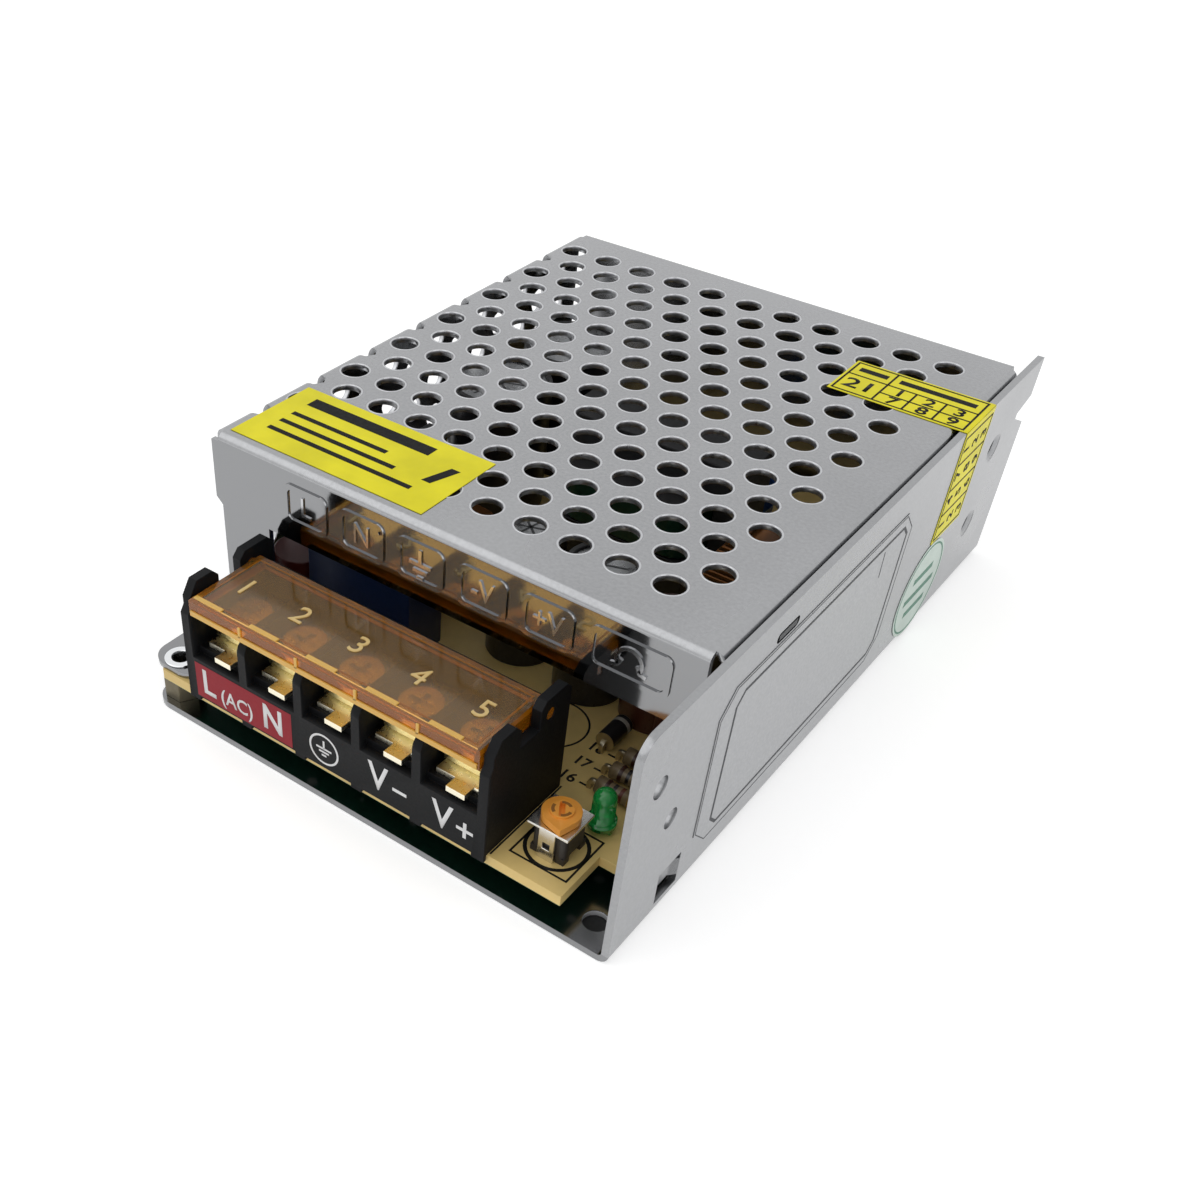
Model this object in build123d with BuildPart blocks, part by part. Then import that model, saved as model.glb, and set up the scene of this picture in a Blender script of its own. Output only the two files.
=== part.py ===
from build123d import *
from math import cos, radians, sin, sqrt
import os

# Mesh case switching power supply, millimetres.
# X runs along the terminals, Y from the terminals to the back, Z up.
# The origin is the centre of the case's underside.

# Case
case_width = 78.0
case_length = 112.0
case_height = 34.0
base_sheet = 1.0
cover_sheet = 0.8
base_bend = 1.6
cover_bend = 1.2
sheet_gap = 0.3
terminal_bay = 17.5
rear_shelf = 4.9

# Perforation: a triangular pattern of round holes
hole_diameter = 4.2
hole_pitch = 6.5
hole_sides = 10
wall_hole_sides = 8
first_column = 3.5
first_row = 7.84
plain_front = 8.0
plain_foot = 1.0
wall_hole_drop = 4.1

# Board
spacer_height = 3.4
board_sheet = 1.6
board_side_gap = 1.8
board_front_gap = 0.7
board_back_gap = 2.0

# Terminal block and its lid
way_count = 5
divider_sheet = 1.35
end_wall = 1.4
end_margin = 1.05
block_inset = 7.5
trimmer_bay = 15.5
block_depth = 16.3
block_height = 13.0
ear_height = 17.3
ledge_height = 6.3
seat_height = 7.3
apron_drop = 0.9
lid_sheet = 1.2
lid_skirt = 2.6
lid_length = 13.3
lid_side_gap = 0.2
lid_rest_gap = 0.2
pivot_radius = 0.8
pivot_clearance = 0.05
pivot_depth = 12.1
screw_row = 7.0

# Small parts on the board
stock_gap = 0.1
trimmer_size = 5.8
trimmer_height = 5.0
rotor_radius = 2.45
lamp_radius = 1.5
resistor_radius = 1.2
resistor_length = 6.6
lead_radius = 0.3
can_radius = 5.0
can_height = 20.0

# Power devices on the wall
device_width = 10.0
device_tab = 15.6
device_body = 9.0
device_depth = 4.5
tab_sheet = 1.3
pad_sheet = 0.3

# Label stock
label_sheet = 0.12

# Places that follow from the sizes above
right = case_width / 2
left = -right
front = -case_length / 2
back = case_length / 2
wall_inside = right - base_sheet
floor_left = left + cover_sheet + sheet_gap
cover_right = wall_inside - sheet_gap
cover_front = front + terminal_bay
cover_back = back - rear_shelf
cover_under = case_height - cover_sheet
board_bottom = base_sheet + spacer_height
board_top = board_bottom + board_sheet
board_left = left + cover_sheet + board_side_gap
board_right = wall_inside - board_side_gap
board_front = front + board_front_gap
board_back = cover_back - cover_sheet - board_back_gap
board_width = board_right - board_left
way_pitch = (board_width - block_inset - trimmer_bay - 2 * end_margin) / way_count
way_room = way_pitch - divider_sheet
block_half = way_count * way_pitch / 2 + end_margin
block_x = board_left + block_inset + block_half
block_left = block_x - block_half
block_right = block_x + block_half
block_back = front + block_depth
row_pitch = hole_pitch * sqrt(3) / 2
way_places = [block_x + (i - (way_count - 1) / 2) * way_pitch for i in range(way_count)]
divider_places = [x + way_pitch / 2 for x in way_places[:-1]]


def depth_plane(distance):
    """The upright plane across the case, a distance behind the front edge."""
    return Plane.XZ.offset(-front - distance)


def side_plane(x):
    """The upright plane along the case at x: its own x is Y, its own y is Z."""
    return Plane.YZ.offset(x)


def level(z):
    return Plane.XY.offset(z)


# Base chassis: floor and right wall folded from one sheet, with a low lip on the left
lip_height = 2.6
lip_front = 21.5
lip_back = case_length - 9.5
front_step = 7.5
front_step_depth = 1.0
corner_radius = 3.0
plate_hole_radius = 1.7
plate_hole_x = right - 4.4
plate_hole_depth = 4.25
side_screw_depth = case_length - 12.3
side_screw_low = 11.55
side_screw_spacing = 12.9
side_screw_radius = 1.25
side_dimple_radius = 2.25
side_dimple_angle = 127
front_hole_depth = 5.3
front_hole_z = case_height - 9.1
front_hole_radius = 1.5
countersink_depth = 9.6
countersink_z = case_height / 2
countersink_radius = 1.4
bridge_front = 9.8
bridge_back = 14.9
bridge_low = 2.3
bridge_high = 7.3
bridge_slit = 1.1
bridge_inset = 0.8
hook_slot_depth = 32.2
hook_slot_length = 5.6
hook_slot_width = 1.5
hook_slot_z = case_height - 3.75
notch_top = case_height - 6.0
notch_bottom = case_height - 10.3
notch_reach = 4.8
notch_slope = 1.1
notch_flat = 0.9
tongue_width = 8.0
tongue_places = [-20.0, 18.0]
tongue_gap = 0.1
floor_end_gap = 2.4
device_hole_radius = 1.45
device_lift = 2.5
device_hole_drop = 2.8
device_places = [44.5, case_length - 23.5]
device_hole_z = board_top + device_lift + device_tab - device_hole_drop

with BuildPart() as base_chassis:
    with BuildSketch(Plane.XZ):
        with BuildLine():
            FilletPolyline((floor_left, 0), (right, 0), (right, case_height), radius=base_bend)
            offset(amount=base_sheet, side=Side.LEFT)
        make_face()
    extrude(amount=case_length / 2, both=True)
    with BuildSketch(depth_plane(lip_back)):
        with BuildLine():
            FilletPolyline(
                (floor_left, lip_height), (floor_left, 0), (floor_left + 3 * base_bend, 0), radius=base_bend
            )
            offset(amount=base_sheet, side=Side.LEFT)
        make_face()
    extrude(amount=lip_back - lip_front)
    # The floor steps in at the front left and stops short of the wall's end at the back
    with BuildSketch(level(0)):
        with Locations((floor_left, front)):
            Rectangle(2 * front_step_depth, 2 * front_step)
        with Locations((floor_left, back)):
            Rectangle(2 * (wall_inside - floor_left - base_bend), 2 * floor_end_gap)
    extrude(amount=base_sheet + lip_height, mode=Mode.SUBTRACT)
    front_corners = base_chassis.edges().filter_by(Axis.Z).group_by(Axis.Y)[0].sort_by(Axis.X)
    fillet(front_corners[0], radius=corner_radius)
    top_corner = base_chassis.edges().filter_by(Axis.X).group_by(Axis.Y)[0].sort_by(Axis.Z)[-1]
    fillet(top_corner, radius=corner_radius)
    # Hook notch in the wall's back edge
    with BuildSketch(side_plane(wall_inside)):
        with BuildLine():
            Polyline(
                (back, notch_top),
                (back - notch_reach, notch_top - notch_slope),
                (back - notch_reach, notch_top - notch_slope - notch_flat),
                (back, notch_bottom),
                close=True,
            )
        make_face()
    extrude(amount=base_sheet, mode=Mode.SUBTRACT)
    # Slot for the cover's hook
    with BuildSketch(side_plane(wall_inside)):
        with Locations((front + hook_slot_depth, hook_slot_z)):
            SlotOverall(hook_slot_length, hook_slot_width)
    extrude(amount=base_sheet, mode=Mode.SUBTRACT)
    # Lanced bridge low at the front of the wall
    with BuildSketch(side_plane(wall_inside - base_sheet)):
        with Locations((front + (bridge_front + bridge_back) / 2, (bridge_low + bridge_high) / 2)):
            Rectangle(bridge_back - bridge_front, bridge_high - bridge_low)
    extrude(amount=2 * base_sheet, mode=Mode.SUBTRACT)
    with BuildSketch(level(bridge_low + bridge_slit)):
        with BuildLine():
            Polyline(
                (wall_inside, front + bridge_front - base_sheet),
                (wall_inside - bridge_inset, front + bridge_front),
                (wall_inside - bridge_inset, front + bridge_back),
                (wall_inside, front + bridge_back + base_sheet),
                (right, front + bridge_back),
                (right - bridge_inset, front + bridge_back - base_sheet),
                (right - bridge_inset, front + bridge_front + base_sheet),
                (right, front + bridge_front),
                close=True,
            )
        make_face()
    extrude(amount=bridge_high - bridge_low - 2 * bridge_slit)
    # Holes in the wall
    with Locations(
        Plane((right, front + side_screw_depth, side_screw_low), x_dir=(0, 1, 0), z_dir=(1, 0, 0)),
        Plane(
            (right, front + side_screw_depth, side_screw_low + side_screw_spacing),
            x_dir=(0, 1, 0),
            z_dir=(1, 0, 0),
        ),
    ):
        CounterSinkHole(side_screw_radius, side_dimple_radius, base_sheet, side_dimple_angle)
    with BuildSketch(side_plane(wall_inside)):
        with Locations((front + front_hole_depth, front_hole_z)):
            Circle(front_hole_radius)
        with Locations((front + countersink_depth, countersink_z)):
            Circle(countersink_radius)
        with Locations([(front + d, device_hole_z) for d in device_places]):
            Circle(device_hole_radius)
    extrude(amount=base_sheet, mode=Mode.SUBTRACT)
    # Holes in the floor
    with BuildSketch(level(0)):
        with Locations((plate_hole_x, front + plate_hole_depth)):
            Circle(plate_hole_radius)
        with Locations([(x, cover_back - cover_sheet / 2) for x in tongue_places]):
            Rectangle(tongue_width + 2 * tongue_gap, cover_sheet + 2 * tongue_gap)
    extrude(amount=base_sheet, mode=Mode.SUBTRACT)

# Perforated cover: top, left wall, front apron with its foot, right lip and back folded from one sheet
apron_bottom = case_height - 11.3
apron_step = apron_bottom + 1.0
apron_slope = 0.4
corner_relief = 1.3
left_wall_foot = base_sheet + sheet_gap
lip_depth = 6.0
lip_front_gap = 2.0
lip_end_gap = 4.6
leg_right = block_left - 0.4
leg_left = floor_left
foot_front = board_front + 0.3
foot_screw_x = board_left + 2.4
foot_screw_depth = 3.4
stamp_width = way_pitch - 2.1
stamp_height = 5.9
stamp_shift = 0.8
stamp_corner = 1.2
stamp_z = case_height - 5.55
stamp_rise = 0.25
stamp_line = 0.7
wide_stamp_width = 11.0
wide_stamp_x = block_right + 6.3
screw_hole_radius = 1.7
hook_length = hook_slot_length - 1.2

# Rows run forward from the back and columns to the right; each fills what its face has room for
row_room = cover_back - first_row - cover_front - plain_front
column_room = cover_right - cover_bend - hole_diameter / 2 - left - first_column
wall_room = case_height - wall_hole_drop - hole_pitch / 2 - left_wall_foot - hole_diameter / 2 - plain_foot
hole_rows = int(row_room / row_pitch) + 1
hole_columns = int(column_room / hole_pitch) + 1
wall_hole_count = int(wall_room / hole_pitch) + 1
fold_shift = 0.3 * cover_bend
top_holes = []
wall_holes = []
edge_holes = []
for row in range(hole_rows):
    hole_y = cover_back - first_row - row * row_pitch
    shift = hole_pitch / 2 * (row % 2)
    for column in range(hole_columns - row % 2):
        top_holes.append((left + first_column + shift + column * hole_pitch, hole_y))
    if row % 2:
        edge_holes.append(hole_y)
    for step in range(wall_hole_count):
        drop = wall_hole_drop + shift + step * hole_pitch
        wall_holes.append((hole_y, case_height - drop))

with BuildPart() as perforated_cover:
    # Left wall, top and right lip
    with BuildSketch(depth_plane(cover_back - cover_sheet - cover_bend - front)):
        with BuildLine():
            FilletPolyline(
                (left, left_wall_foot),
                (left, case_height),
                (cover_right, case_height),
                (cover_right, case_height - lip_depth),
                radius=cover_bend,
            )
            offset(amount=cover_sheet, side=Side.RIGHT)
        make_face()
    extrude(amount=cover_back - cover_front - 2 * (cover_sheet + cover_bend) + 0.8)
    with BuildSketch(side_plane(cover_right - cover_sheet)):
        for y in (cover_front, cover_back):
            inward = lip_front_gap if y == cover_front else lip_end_gap
            with Locations((y, case_height - cover_bend - lip_depth / 2)):
                Rectangle(2 * inward, lip_depth)
    extrude(amount=cover_sheet, mode=Mode.SUBTRACT)
    # Front apron, top and back
    with BuildSketch(side_plane(left + corner_relief)):
        with BuildLine():
            FilletPolyline(
                (cover_front, apron_bottom),
                (cover_front, case_height),
                (cover_back, case_height),
                (cover_back, base_sheet),
                radius=cover_bend,
            )
            offset(amount=cover_sheet, side=Side.RIGHT)
        make_face()
    extrude(amount=cover_right - cover_bend - left - corner_relief)
    # The apron reaches past the left wall as far down as its step
    with BuildSketch(depth_plane(terminal_bay + cover_sheet)):
        with BuildLine():
            Polyline(
                (leg_left + corner_relief, case_height - cover_bend),
                (left, case_height - cover_bend),
                (left, apron_step + apron_slope),
                (leg_left, apron_bottom + apron_slope),
                (leg_left, apron_bottom),
                (leg_left + corner_relief, apron_bottom),
                close=True,
            )
        make_face()
    extrude(amount=cover_sheet)
    # Leg and foot at the front left
    with BuildSketch(side_plane(leg_left)):
        with BuildLine():
            FilletPolyline(
                (cover_front + cover_sheet, apron_bottom + cover_sheet),
                (cover_front + cover_sheet, board_top),
                (foot_front, board_top),
                radius=cover_bend,
            )
            offset(amount=cover_sheet, side=Side.RIGHT)
        make_face()
    extrude(amount=leg_right - leg_left)
    foot_corners = perforated_cover.edges().filter_by(Axis.Z).group_by(Axis.Y)[0]
    fillet(foot_corners, radius=corner_radius)
    # Tongues at the back that drop through the floor
    with BuildSketch(level(0)):
        with Locations([(x, cover_back - cover_sheet / 2) for x in tongue_places]):
            Rectangle(tongue_width, cover_sheet)
    extrude(amount=base_sheet)
    # Hook on the lip, through the slot in the wall
    with BuildSketch(side_plane(cover_right)):
        with Locations((front + hook_slot_depth, hook_slot_z)):
            Rectangle(hook_length, cover_sheet)
    extrude(amount=sheet_gap + base_sheet)
    # Stamped frames on the apron, one above each way and a wide one above the trimmer
    with BuildSketch(depth_plane(terminal_bay)):
        for x in way_places:
            with Locations((x + stamp_shift, stamp_z)):
                RectangleRounded(stamp_width, stamp_height, stamp_corner)
                RectangleRounded(
                    stamp_width - 2 * stamp_line,
                    stamp_height - 2 * stamp_line,
                    stamp_corner - stamp_line / 2,
                    mode=Mode.SUBTRACT,
                )
        with Locations((wide_stamp_x, stamp_z)):
            RectangleRounded(wide_stamp_width, stamp_height, stamp_corner)
            RectangleRounded(
                wide_stamp_width - 2 * stamp_line,
                stamp_height - 2 * stamp_line,
                stamp_corner - stamp_line / 2,
                mode=Mode.SUBTRACT,
            )
    extrude(amount=stamp_rise)
    # Screw hole in the foot
    with BuildSketch(level(board_top)):
        with Locations((foot_screw_x, front + foot_screw_depth)):
            Circle(screw_hole_radius)
    extrude(amount=cover_sheet, mode=Mode.SUBTRACT)
    # Holes in the top, in the left wall and across the fold between them
    with BuildSketch(level(cover_under - stock_gap)):
        with Locations(top_holes):
            RegularPolygon(hole_diameter / 2, hole_sides)
    extrude(amount=cover_sheet + 2 * stock_gap, mode=Mode.SUBTRACT)
    with BuildSketch(side_plane(left - stock_gap)):
        with Locations(wall_holes):
            RegularPolygon(hole_diameter / 2, wall_hole_sides)
    extrude(amount=cover_sheet + 2 * stock_gap, mode=Mode.SUBTRACT)
    fold_planes = [
        Plane(
            (left - fold_shift, y, case_height + fold_shift),
            x_dir=(0, 1, 0),
            z_dir=(1, 0, -1),
        )
        for y in edge_holes
    ]
    with BuildSketch(*fold_planes):
        RegularPolygon(0.43 * hole_diameter, wall_hole_sides)
    extrude(amount=2 * cover_bend + cover_sheet, mode=Mode.SUBTRACT)

# Circuit board, notched at the front right, with holes for its screws and the terminal pins
notch_width = 4.8
notch_depth = 8.4
board_corner = 1.5
rear_spacer_inset = 5.8
left_spacer_inset = 4.4
right_spacer_inset = 3.2
middle_spacer_depth = 54.5
spacer_places = [
    (foot_screw_x, front + foot_screw_depth),
    (board_left + left_spacer_inset, board_back - rear_spacer_inset),
    (board_right - right_spacer_inset, board_back - rear_spacer_inset),
    (board_right - right_spacer_inset, front + middle_spacer_depth),
]
pin_width = 1.8
pin_sheet = 0.8
pin_row = 12.4

with BuildPart() as circuit_board:
    with BuildSketch(level(board_bottom)):
        with Locations(((board_left + board_right) / 2, (board_front + board_back) / 2)):
            Rectangle(board_right - board_left, board_back - board_front)
        with Locations((board_right, board_front)):
            Rectangle(2 * notch_width, 2 * notch_depth, mode=Mode.SUBTRACT)
        with Locations(spacer_places):
            Circle(screw_hole_radius, mode=Mode.SUBTRACT)
        with Locations([(x, front + pin_row) for x in way_places]):
            Rectangle(pin_width + 2 * stock_gap, pin_sheet + 2 * stock_gap, mode=Mode.SUBTRACT)
    extrude(amount=board_sheet)
    left_corner = circuit_board.edges().filter_by(Axis.Z).group_by(Axis.X)[0].sort_by(Axis.Y)[0]
    chamfer(left_corner, length=board_corner)

# Hexagonal spacers under the board and the screws that hold it
spacer_radius = 2.75
spacer_bore = 1.45
shank_radius = 1.4
head_radius = 2.75
head_height = 2.0
recess_width = 0.7

with BuildPart() as board_spacers:
    with BuildSketch(level(base_sheet)):
        with Locations(spacer_places):
            RegularPolygon(spacer_radius, 6)
            Circle(spacer_bore, mode=Mode.SUBTRACT)
    extrude(amount=spacer_height)

with BuildPart() as board_screws:
    with BuildSketch(level(board_top)):
        with Locations(spacer_places[1:]):
            Circle(head_radius)
    extrude(amount=head_height)
    with BuildSketch(level(base_sheet + sheet_gap)):
        with Locations(spacer_places[1:]):
            Circle(shank_radius)
    extrude(amount=board_top - base_sheet - sheet_gap)
    with BuildSketch(level(board_top + head_height)):
        with Locations(spacer_places[1:]):
            Rectangle(head_radius, recess_width)
            Rectangle(recess_width, head_radius)
    extrude(amount=-head_height / 2, mode=Mode.SUBTRACT)

# Hollow eyelet through the cover's foot and the board, above the front spacer
eyelet_rim = 2.3
eyelet_rim_sheet = 0.3
eyelet_bore = 1.3

with BuildPart() as foot_eyelet:
    with BuildSketch(level(board_bottom)):
        with Locations(spacer_places[0]):
            Circle(screw_hole_radius - stock_gap)
    extrude(amount=board_sheet + cover_sheet)
    with BuildSketch(level(board_top + cover_sheet)):
        with Locations(spacer_places[0]):
            Circle(eyelet_rim)
    extrude(amount=eyelet_rim_sheet)
    with BuildSketch(level(board_bottom)):
        with Locations(spacer_places[0]):
            Circle(eyelet_bore)
    extrude(amount=board_sheet + cover_sheet + eyelet_rim_sheet, mode=Mode.SUBTRACT)

# Insulating film on the floor under the live side of the board
film_sheet = 0.25
film_front = 19.5
film_inset = 1.2

with BuildPart() as insulating_film:
    with BuildSketch(level(base_sheet)):
        with Locations((0, (front + film_front + cover_back - film_inset - cover_sheet) / 2)):
            Rectangle(
                2 * (board_right - film_inset), cover_back - film_inset - cover_sheet - front - film_front
            )
        with Locations(spacer_places[1:]):
            Circle(spacer_radius + sheet_gap, mode=Mode.SUBTRACT)
    extrude(amount=film_sheet)

# Terminal block body: a stepped section with dividers, end walls with ears and an apron over the board's edge
apron_sheet = board_front_gap - stock_gap
apron_slot_height = 0.65
apron_slot_width = way_pitch - 1.7
seat_step = 1.5
rear_wall = 1.8
ear_front = 0.7
ear_length = 5.3
rear_ear = 10.0
ear_gap_floor = 13.5
ear_chamfer = 1.0
ear_nose = 1.4
ear_brow = 2.0
pocket_floor = 1.5
screw_pocket_radius = 1.7
pivot_drop = 1.0
divider_round = 2.0
pivot_z = board_top + block_height + lid_rest_gap + lid_skirt - pivot_drop

with BuildPart() as terminal_block_body:
    with BuildSketch(side_plane(block_left)):
        with BuildLine():
            Polyline(
                (front, board_top - apron_drop),
                (front + apron_sheet, board_top - apron_drop),
                (front + apron_sheet, board_top),
                (block_back, board_top),
                (block_back, board_top + block_height),
                (block_back - rear_wall, board_top + block_height),
                (block_back - rear_wall, board_top + seat_height),
                (front + seat_step, board_top + seat_height),
                (front + seat_step, board_top + ledge_height),
                (front, board_top + ledge_height),
                close=True,
            )
        make_face()
    extrude(amount=2 * block_half)
    # Dividers, rounded at their front top corner
    with BuildSketch(*[side_plane(x - divider_sheet / 2) for x in divider_places]):
        with BuildLine():
            FilletPolyline(
                (block_back, board_top),
                (front + apron_sheet, board_top),
                (front, board_top + ledge_height),
                (front, board_top + block_height),
                (block_back, board_top + block_height),
                radius=(0, 0, divider_round),
            )
            Line((block_back, board_top + block_height), (block_back, board_top))
        make_face()
    extrude(amount=divider_sheet)
    # End walls with a front and a rear ear
    with BuildSketch(side_plane(block_left), side_plane(block_right - end_wall)):
        with BuildLine():
            Polyline(
                (front, board_top),
                (front, board_top + block_height),
                (front + ear_front, board_top + block_height + ear_chamfer),
                (front + ear_front, board_top + ear_height - ear_brow),
                (front + ear_front + ear_nose, board_top + ear_height),
                (front + ear_front + ear_length - ear_chamfer, board_top + ear_height),
                (front + ear_front + ear_length, board_top + ear_height - ear_chamfer),
                (front + ear_front + ear_length, board_top + ear_gap_floor),
                (front + rear_ear, board_top + ear_gap_floor),
                (front + rear_ear, board_top + ear_height - ear_chamfer),
                (front + rear_ear + ear_chamfer, board_top + ear_height),
                (block_back - ear_chamfer, board_top + ear_height),
                (block_back, board_top + ear_height - ear_chamfer),
                (block_back, board_top),
                close=True,
            )
        make_face()
    extrude(amount=end_wall)
    # Slots in the apron's lower edge, one to a way
    with BuildSketch(depth_plane(0)):
        with Locations([(x, board_top - apron_drop + apron_slot_height / 2) for x in way_places]):
            Rectangle(apron_slot_width, apron_slot_height)
    extrude(amount=-apron_sheet, mode=Mode.SUBTRACT)
    # Pockets for the screws and slits for the pins
    with BuildSketch(level(board_top + seat_height)):
        with Locations([(x, front + screw_row) for x in way_places]):
            Circle(screw_pocket_radius)
    extrude(amount=-(seat_height - pocket_floor), mode=Mode.SUBTRACT)
    with BuildSketch(level(board_top)):
        with Locations([(x, front + pin_row) for x in way_places]):
            Rectangle(pin_width + 2 * stock_gap, pin_sheet + 2 * stock_gap)
    extrude(amount=seat_height, mode=Mode.SUBTRACT)
    # Bearings for the lid's stub pins in the rear ears
    with BuildSketch(side_plane(block_left)):
        with Locations((front + pivot_depth, pivot_z)):
            Circle(pivot_radius + pivot_clearance)
    extrude(amount=2 * block_half, mode=Mode.SUBTRACT)

# Terminal contacts: a plate on each seat with a front tab and a pin through the board
contact_width = way_room - 1.55
contact_tab_width = 2.8
contact_back = 14.2
contact_end_gap = 0.6
contact_tab_shift = 1.0
contact_tab_reach = 1.3
pin_reach = 1.0

with BuildPart() as terminal_contacts:
    contact_seat = board_top + seat_height
    with BuildSketch(level(contact_seat)):
        for x in way_places:
            with Locations((x, front + (seat_step + contact_end_gap + contact_back) / 2)):
                Rectangle(contact_width, contact_back - seat_step - contact_end_gap)
            with Locations((x + contact_tab_shift, front + seat_step)):
                Rectangle(contact_tab_width, 2 * contact_tab_reach)
            with Locations((x, front + screw_row)):
                Circle(screw_pocket_radius, mode=Mode.SUBTRACT)
    extrude(amount=pin_sheet)
    with BuildSketch(level(contact_seat)):
        with Locations([(x, front + pin_row) for x in way_places]):
            Rectangle(pin_width, pin_sheet)
    extrude(amount=-(contact_seat - board_bottom + pin_reach))

# Wire clamps: square washers with turned-up front corners, one under each screw
clamp_size = way_room - 1.35
clamp_sheet = 0.9
clamp_lip = 0.4
clamp_top = board_top + seat_height + pin_sheet + clamp_sheet

with BuildPart() as clamp_washers:
    with BuildSketch(*[side_plane(x - clamp_size / 2) for x in way_places]):
        with BuildLine():
            Polyline(
                (front + screw_row + clamp_size / 2, clamp_top - clamp_sheet),
                (front + screw_row + clamp_size / 2, clamp_top),
                (front + screw_row - clamp_size / 2 + clamp_lip, clamp_top),
                (front + screw_row - clamp_size / 2, clamp_top + clamp_lip),
                (front + screw_row - clamp_size / 2, clamp_top - clamp_sheet + clamp_lip),
                (front + screw_row - clamp_size / 2 + clamp_lip, clamp_top - clamp_sheet),
                close=True,
            )
        make_face()
    extrude(amount=clamp_size)
    with BuildSketch(level(clamp_top)):
        with Locations([(x, front + screw_row) for x in way_places]):
            Circle(screw_pocket_radius)
    extrude(amount=-clamp_sheet, mode=Mode.SUBTRACT)

# Terminal screws
terminal_head_radius = clamp_size / 2 - 0.5
terminal_head_height = 2.2
terminal_shank = 1.5
terminal_shank_end = board_top + 2.5
terminal_recess = 1.24 * terminal_head_radius
terminal_recess_width = 0.8

with BuildPart() as terminal_screws:
    with BuildSketch(level(clamp_top)):
        with Locations([(x, front + screw_row) for x in way_places]):
            Circle(terminal_head_radius)
    extrude(amount=terminal_head_height)
    with BuildSketch(level(terminal_shank_end)):
        with Locations([(x, front + screw_row) for x in way_places]):
            Circle(terminal_shank)
    extrude(amount=clamp_top - terminal_shank_end)
    with BuildSketch(level(clamp_top + terminal_head_height)):
        with Locations([(x, front + screw_row) for x in way_places]):
            Rectangle(terminal_recess, terminal_recess_width)
            Rectangle(terminal_recess_width, terminal_recess)
    extrude(amount=-terminal_head_height / 2, mode=Mode.SUBTRACT)

# Clear lid over the terminals: a plate with a skirt on three sides and a stub pin at each end
lid_left = block_left + end_wall + lid_side_gap
lid_right = block_right - end_wall - lid_side_gap
lid_front = front + lid_side_gap
lid_back = lid_front + lid_length
lid_top = pivot_z + pivot_drop
lid_bottom = lid_top - lid_skirt
lid_rear_skirt = 1.8
lid_wall = 1.1
lid_chamfer = 0.35

with BuildPart() as terminal_cover:
    with BuildSketch(level(lid_top)):
        with Locations(((lid_left + lid_right) / 2, (lid_front + lid_back) / 2)):
            Rectangle(lid_right - lid_left, lid_back - lid_front)
    extrude(amount=-lid_skirt)
    with BuildSketch(level(lid_bottom)):
        with Locations(((lid_left + lid_right) / 2, (lid_front + lid_back) / 2)):
            Rectangle(lid_right - lid_left - 2 * lid_wall, lid_back - lid_front - 2 * lid_wall)
    extrude(amount=lid_skirt - lid_sheet, mode=Mode.SUBTRACT)
    with BuildSketch(level(lid_bottom)):
        with Locations(((lid_left + lid_right) / 2, lid_back)):
            Rectangle(lid_right - lid_left - 2 * lid_wall, 2 * lid_wall)
    extrude(amount=lid_skirt - lid_rear_skirt, mode=Mode.SUBTRACT)
    chamfer(terminal_cover.faces().sort_by(Axis.Z)[-1].edges(), length=lid_chamfer)
    for x, way in ((lid_left, -1), (lid_right, 1)):
        with BuildSketch(side_plane(x)):
            with Locations((front + pivot_depth, pivot_z)):
                Circle(pivot_radius)
        extrude(amount=way * (lid_side_gap + end_wall - stock_gap))

# Trimmer: dark base, folded metal bridge and orange rotor
trimmer_inset = 9.75
trimmer_depth = 7.3
trimmer_x = board_right - trimmer_inset
trimmer_y = front + trimmer_depth
trimmer_top = board_top + trimmer_height
bridge_sheet = 0.4
trimmer_leg_width = 2.3
trimmer_base_size = 4.8
trimmer_base_corner = 0.8
trimmer_stand = 1.0
trimmer_foot = 1.2
trimmer_bore = 1.1
trimmer_window = 1.0
trimmer_window_height = 0.45 * trimmer_height

with BuildPart() as trimmer_base:
    with BuildSketch(level(board_top)):
        with Locations((trimmer_x, trimmer_y)):
            with GridLocations(trimmer_base_size - trimmer_foot, trimmer_base_size - trimmer_foot, 2, 2):
                Rectangle(trimmer_foot, trimmer_foot)
    extrude(amount=trimmer_stand)
    with BuildSketch(level(board_top + trimmer_stand)):
        with Locations((trimmer_x, trimmer_y)):
            RectangleRounded(trimmer_base_size, trimmer_base_size, trimmer_base_corner)
            Circle(trimmer_bore, mode=Mode.SUBTRACT)
    extrude(amount=trimmer_height - bridge_sheet - trimmer_stand)

with BuildPart() as trimmer_frame:
    with BuildSketch(side_plane(trimmer_x - trimmer_size / 2)):
        with Locations((trimmer_y, trimmer_top - bridge_sheet / 2)):
            Rectangle(trimmer_size, bridge_sheet)
    extrude(amount=trimmer_size)
    for way in (-1, 1):
        with BuildSketch(Plane.XZ.offset(-trimmer_y + way * trimmer_size / 2)):
            with Locations((trimmer_x, (board_top + trimmer_top) / 2)):
                Rectangle(trimmer_leg_width, trimmer_height)
        extrude(amount=-way * bridge_sheet)
    with BuildSketch(Plane.XZ.offset(-trimmer_y)):
        with Locations((trimmer_x, board_top + trimmer_window_height)):
            Rectangle(trimmer_window, trimmer_window)
    extrude(amount=trimmer_size, both=True, mode=Mode.SUBTRACT)
    with BuildSketch(level(trimmer_top)):
        with Locations((trimmer_x, trimmer_y)):
            Circle(trimmer_bore - stock_gap / 2)
    extrude(amount=-bridge_sheet, mode=Mode.SUBTRACT)

# The rotor is a teardrop plate with a slotted boss above and a stem below
rotor_lift = 0.1
rotor_sheet = 1.0
rotor_boss_radius = 1.5
rotor_boss = 0.3
rotor_slot = 2.6
rotor_slot_width = 0.7
rotor_slot_depth = 0.8
rotor_stem_radius = 1.0
corner_angle = -60

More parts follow.
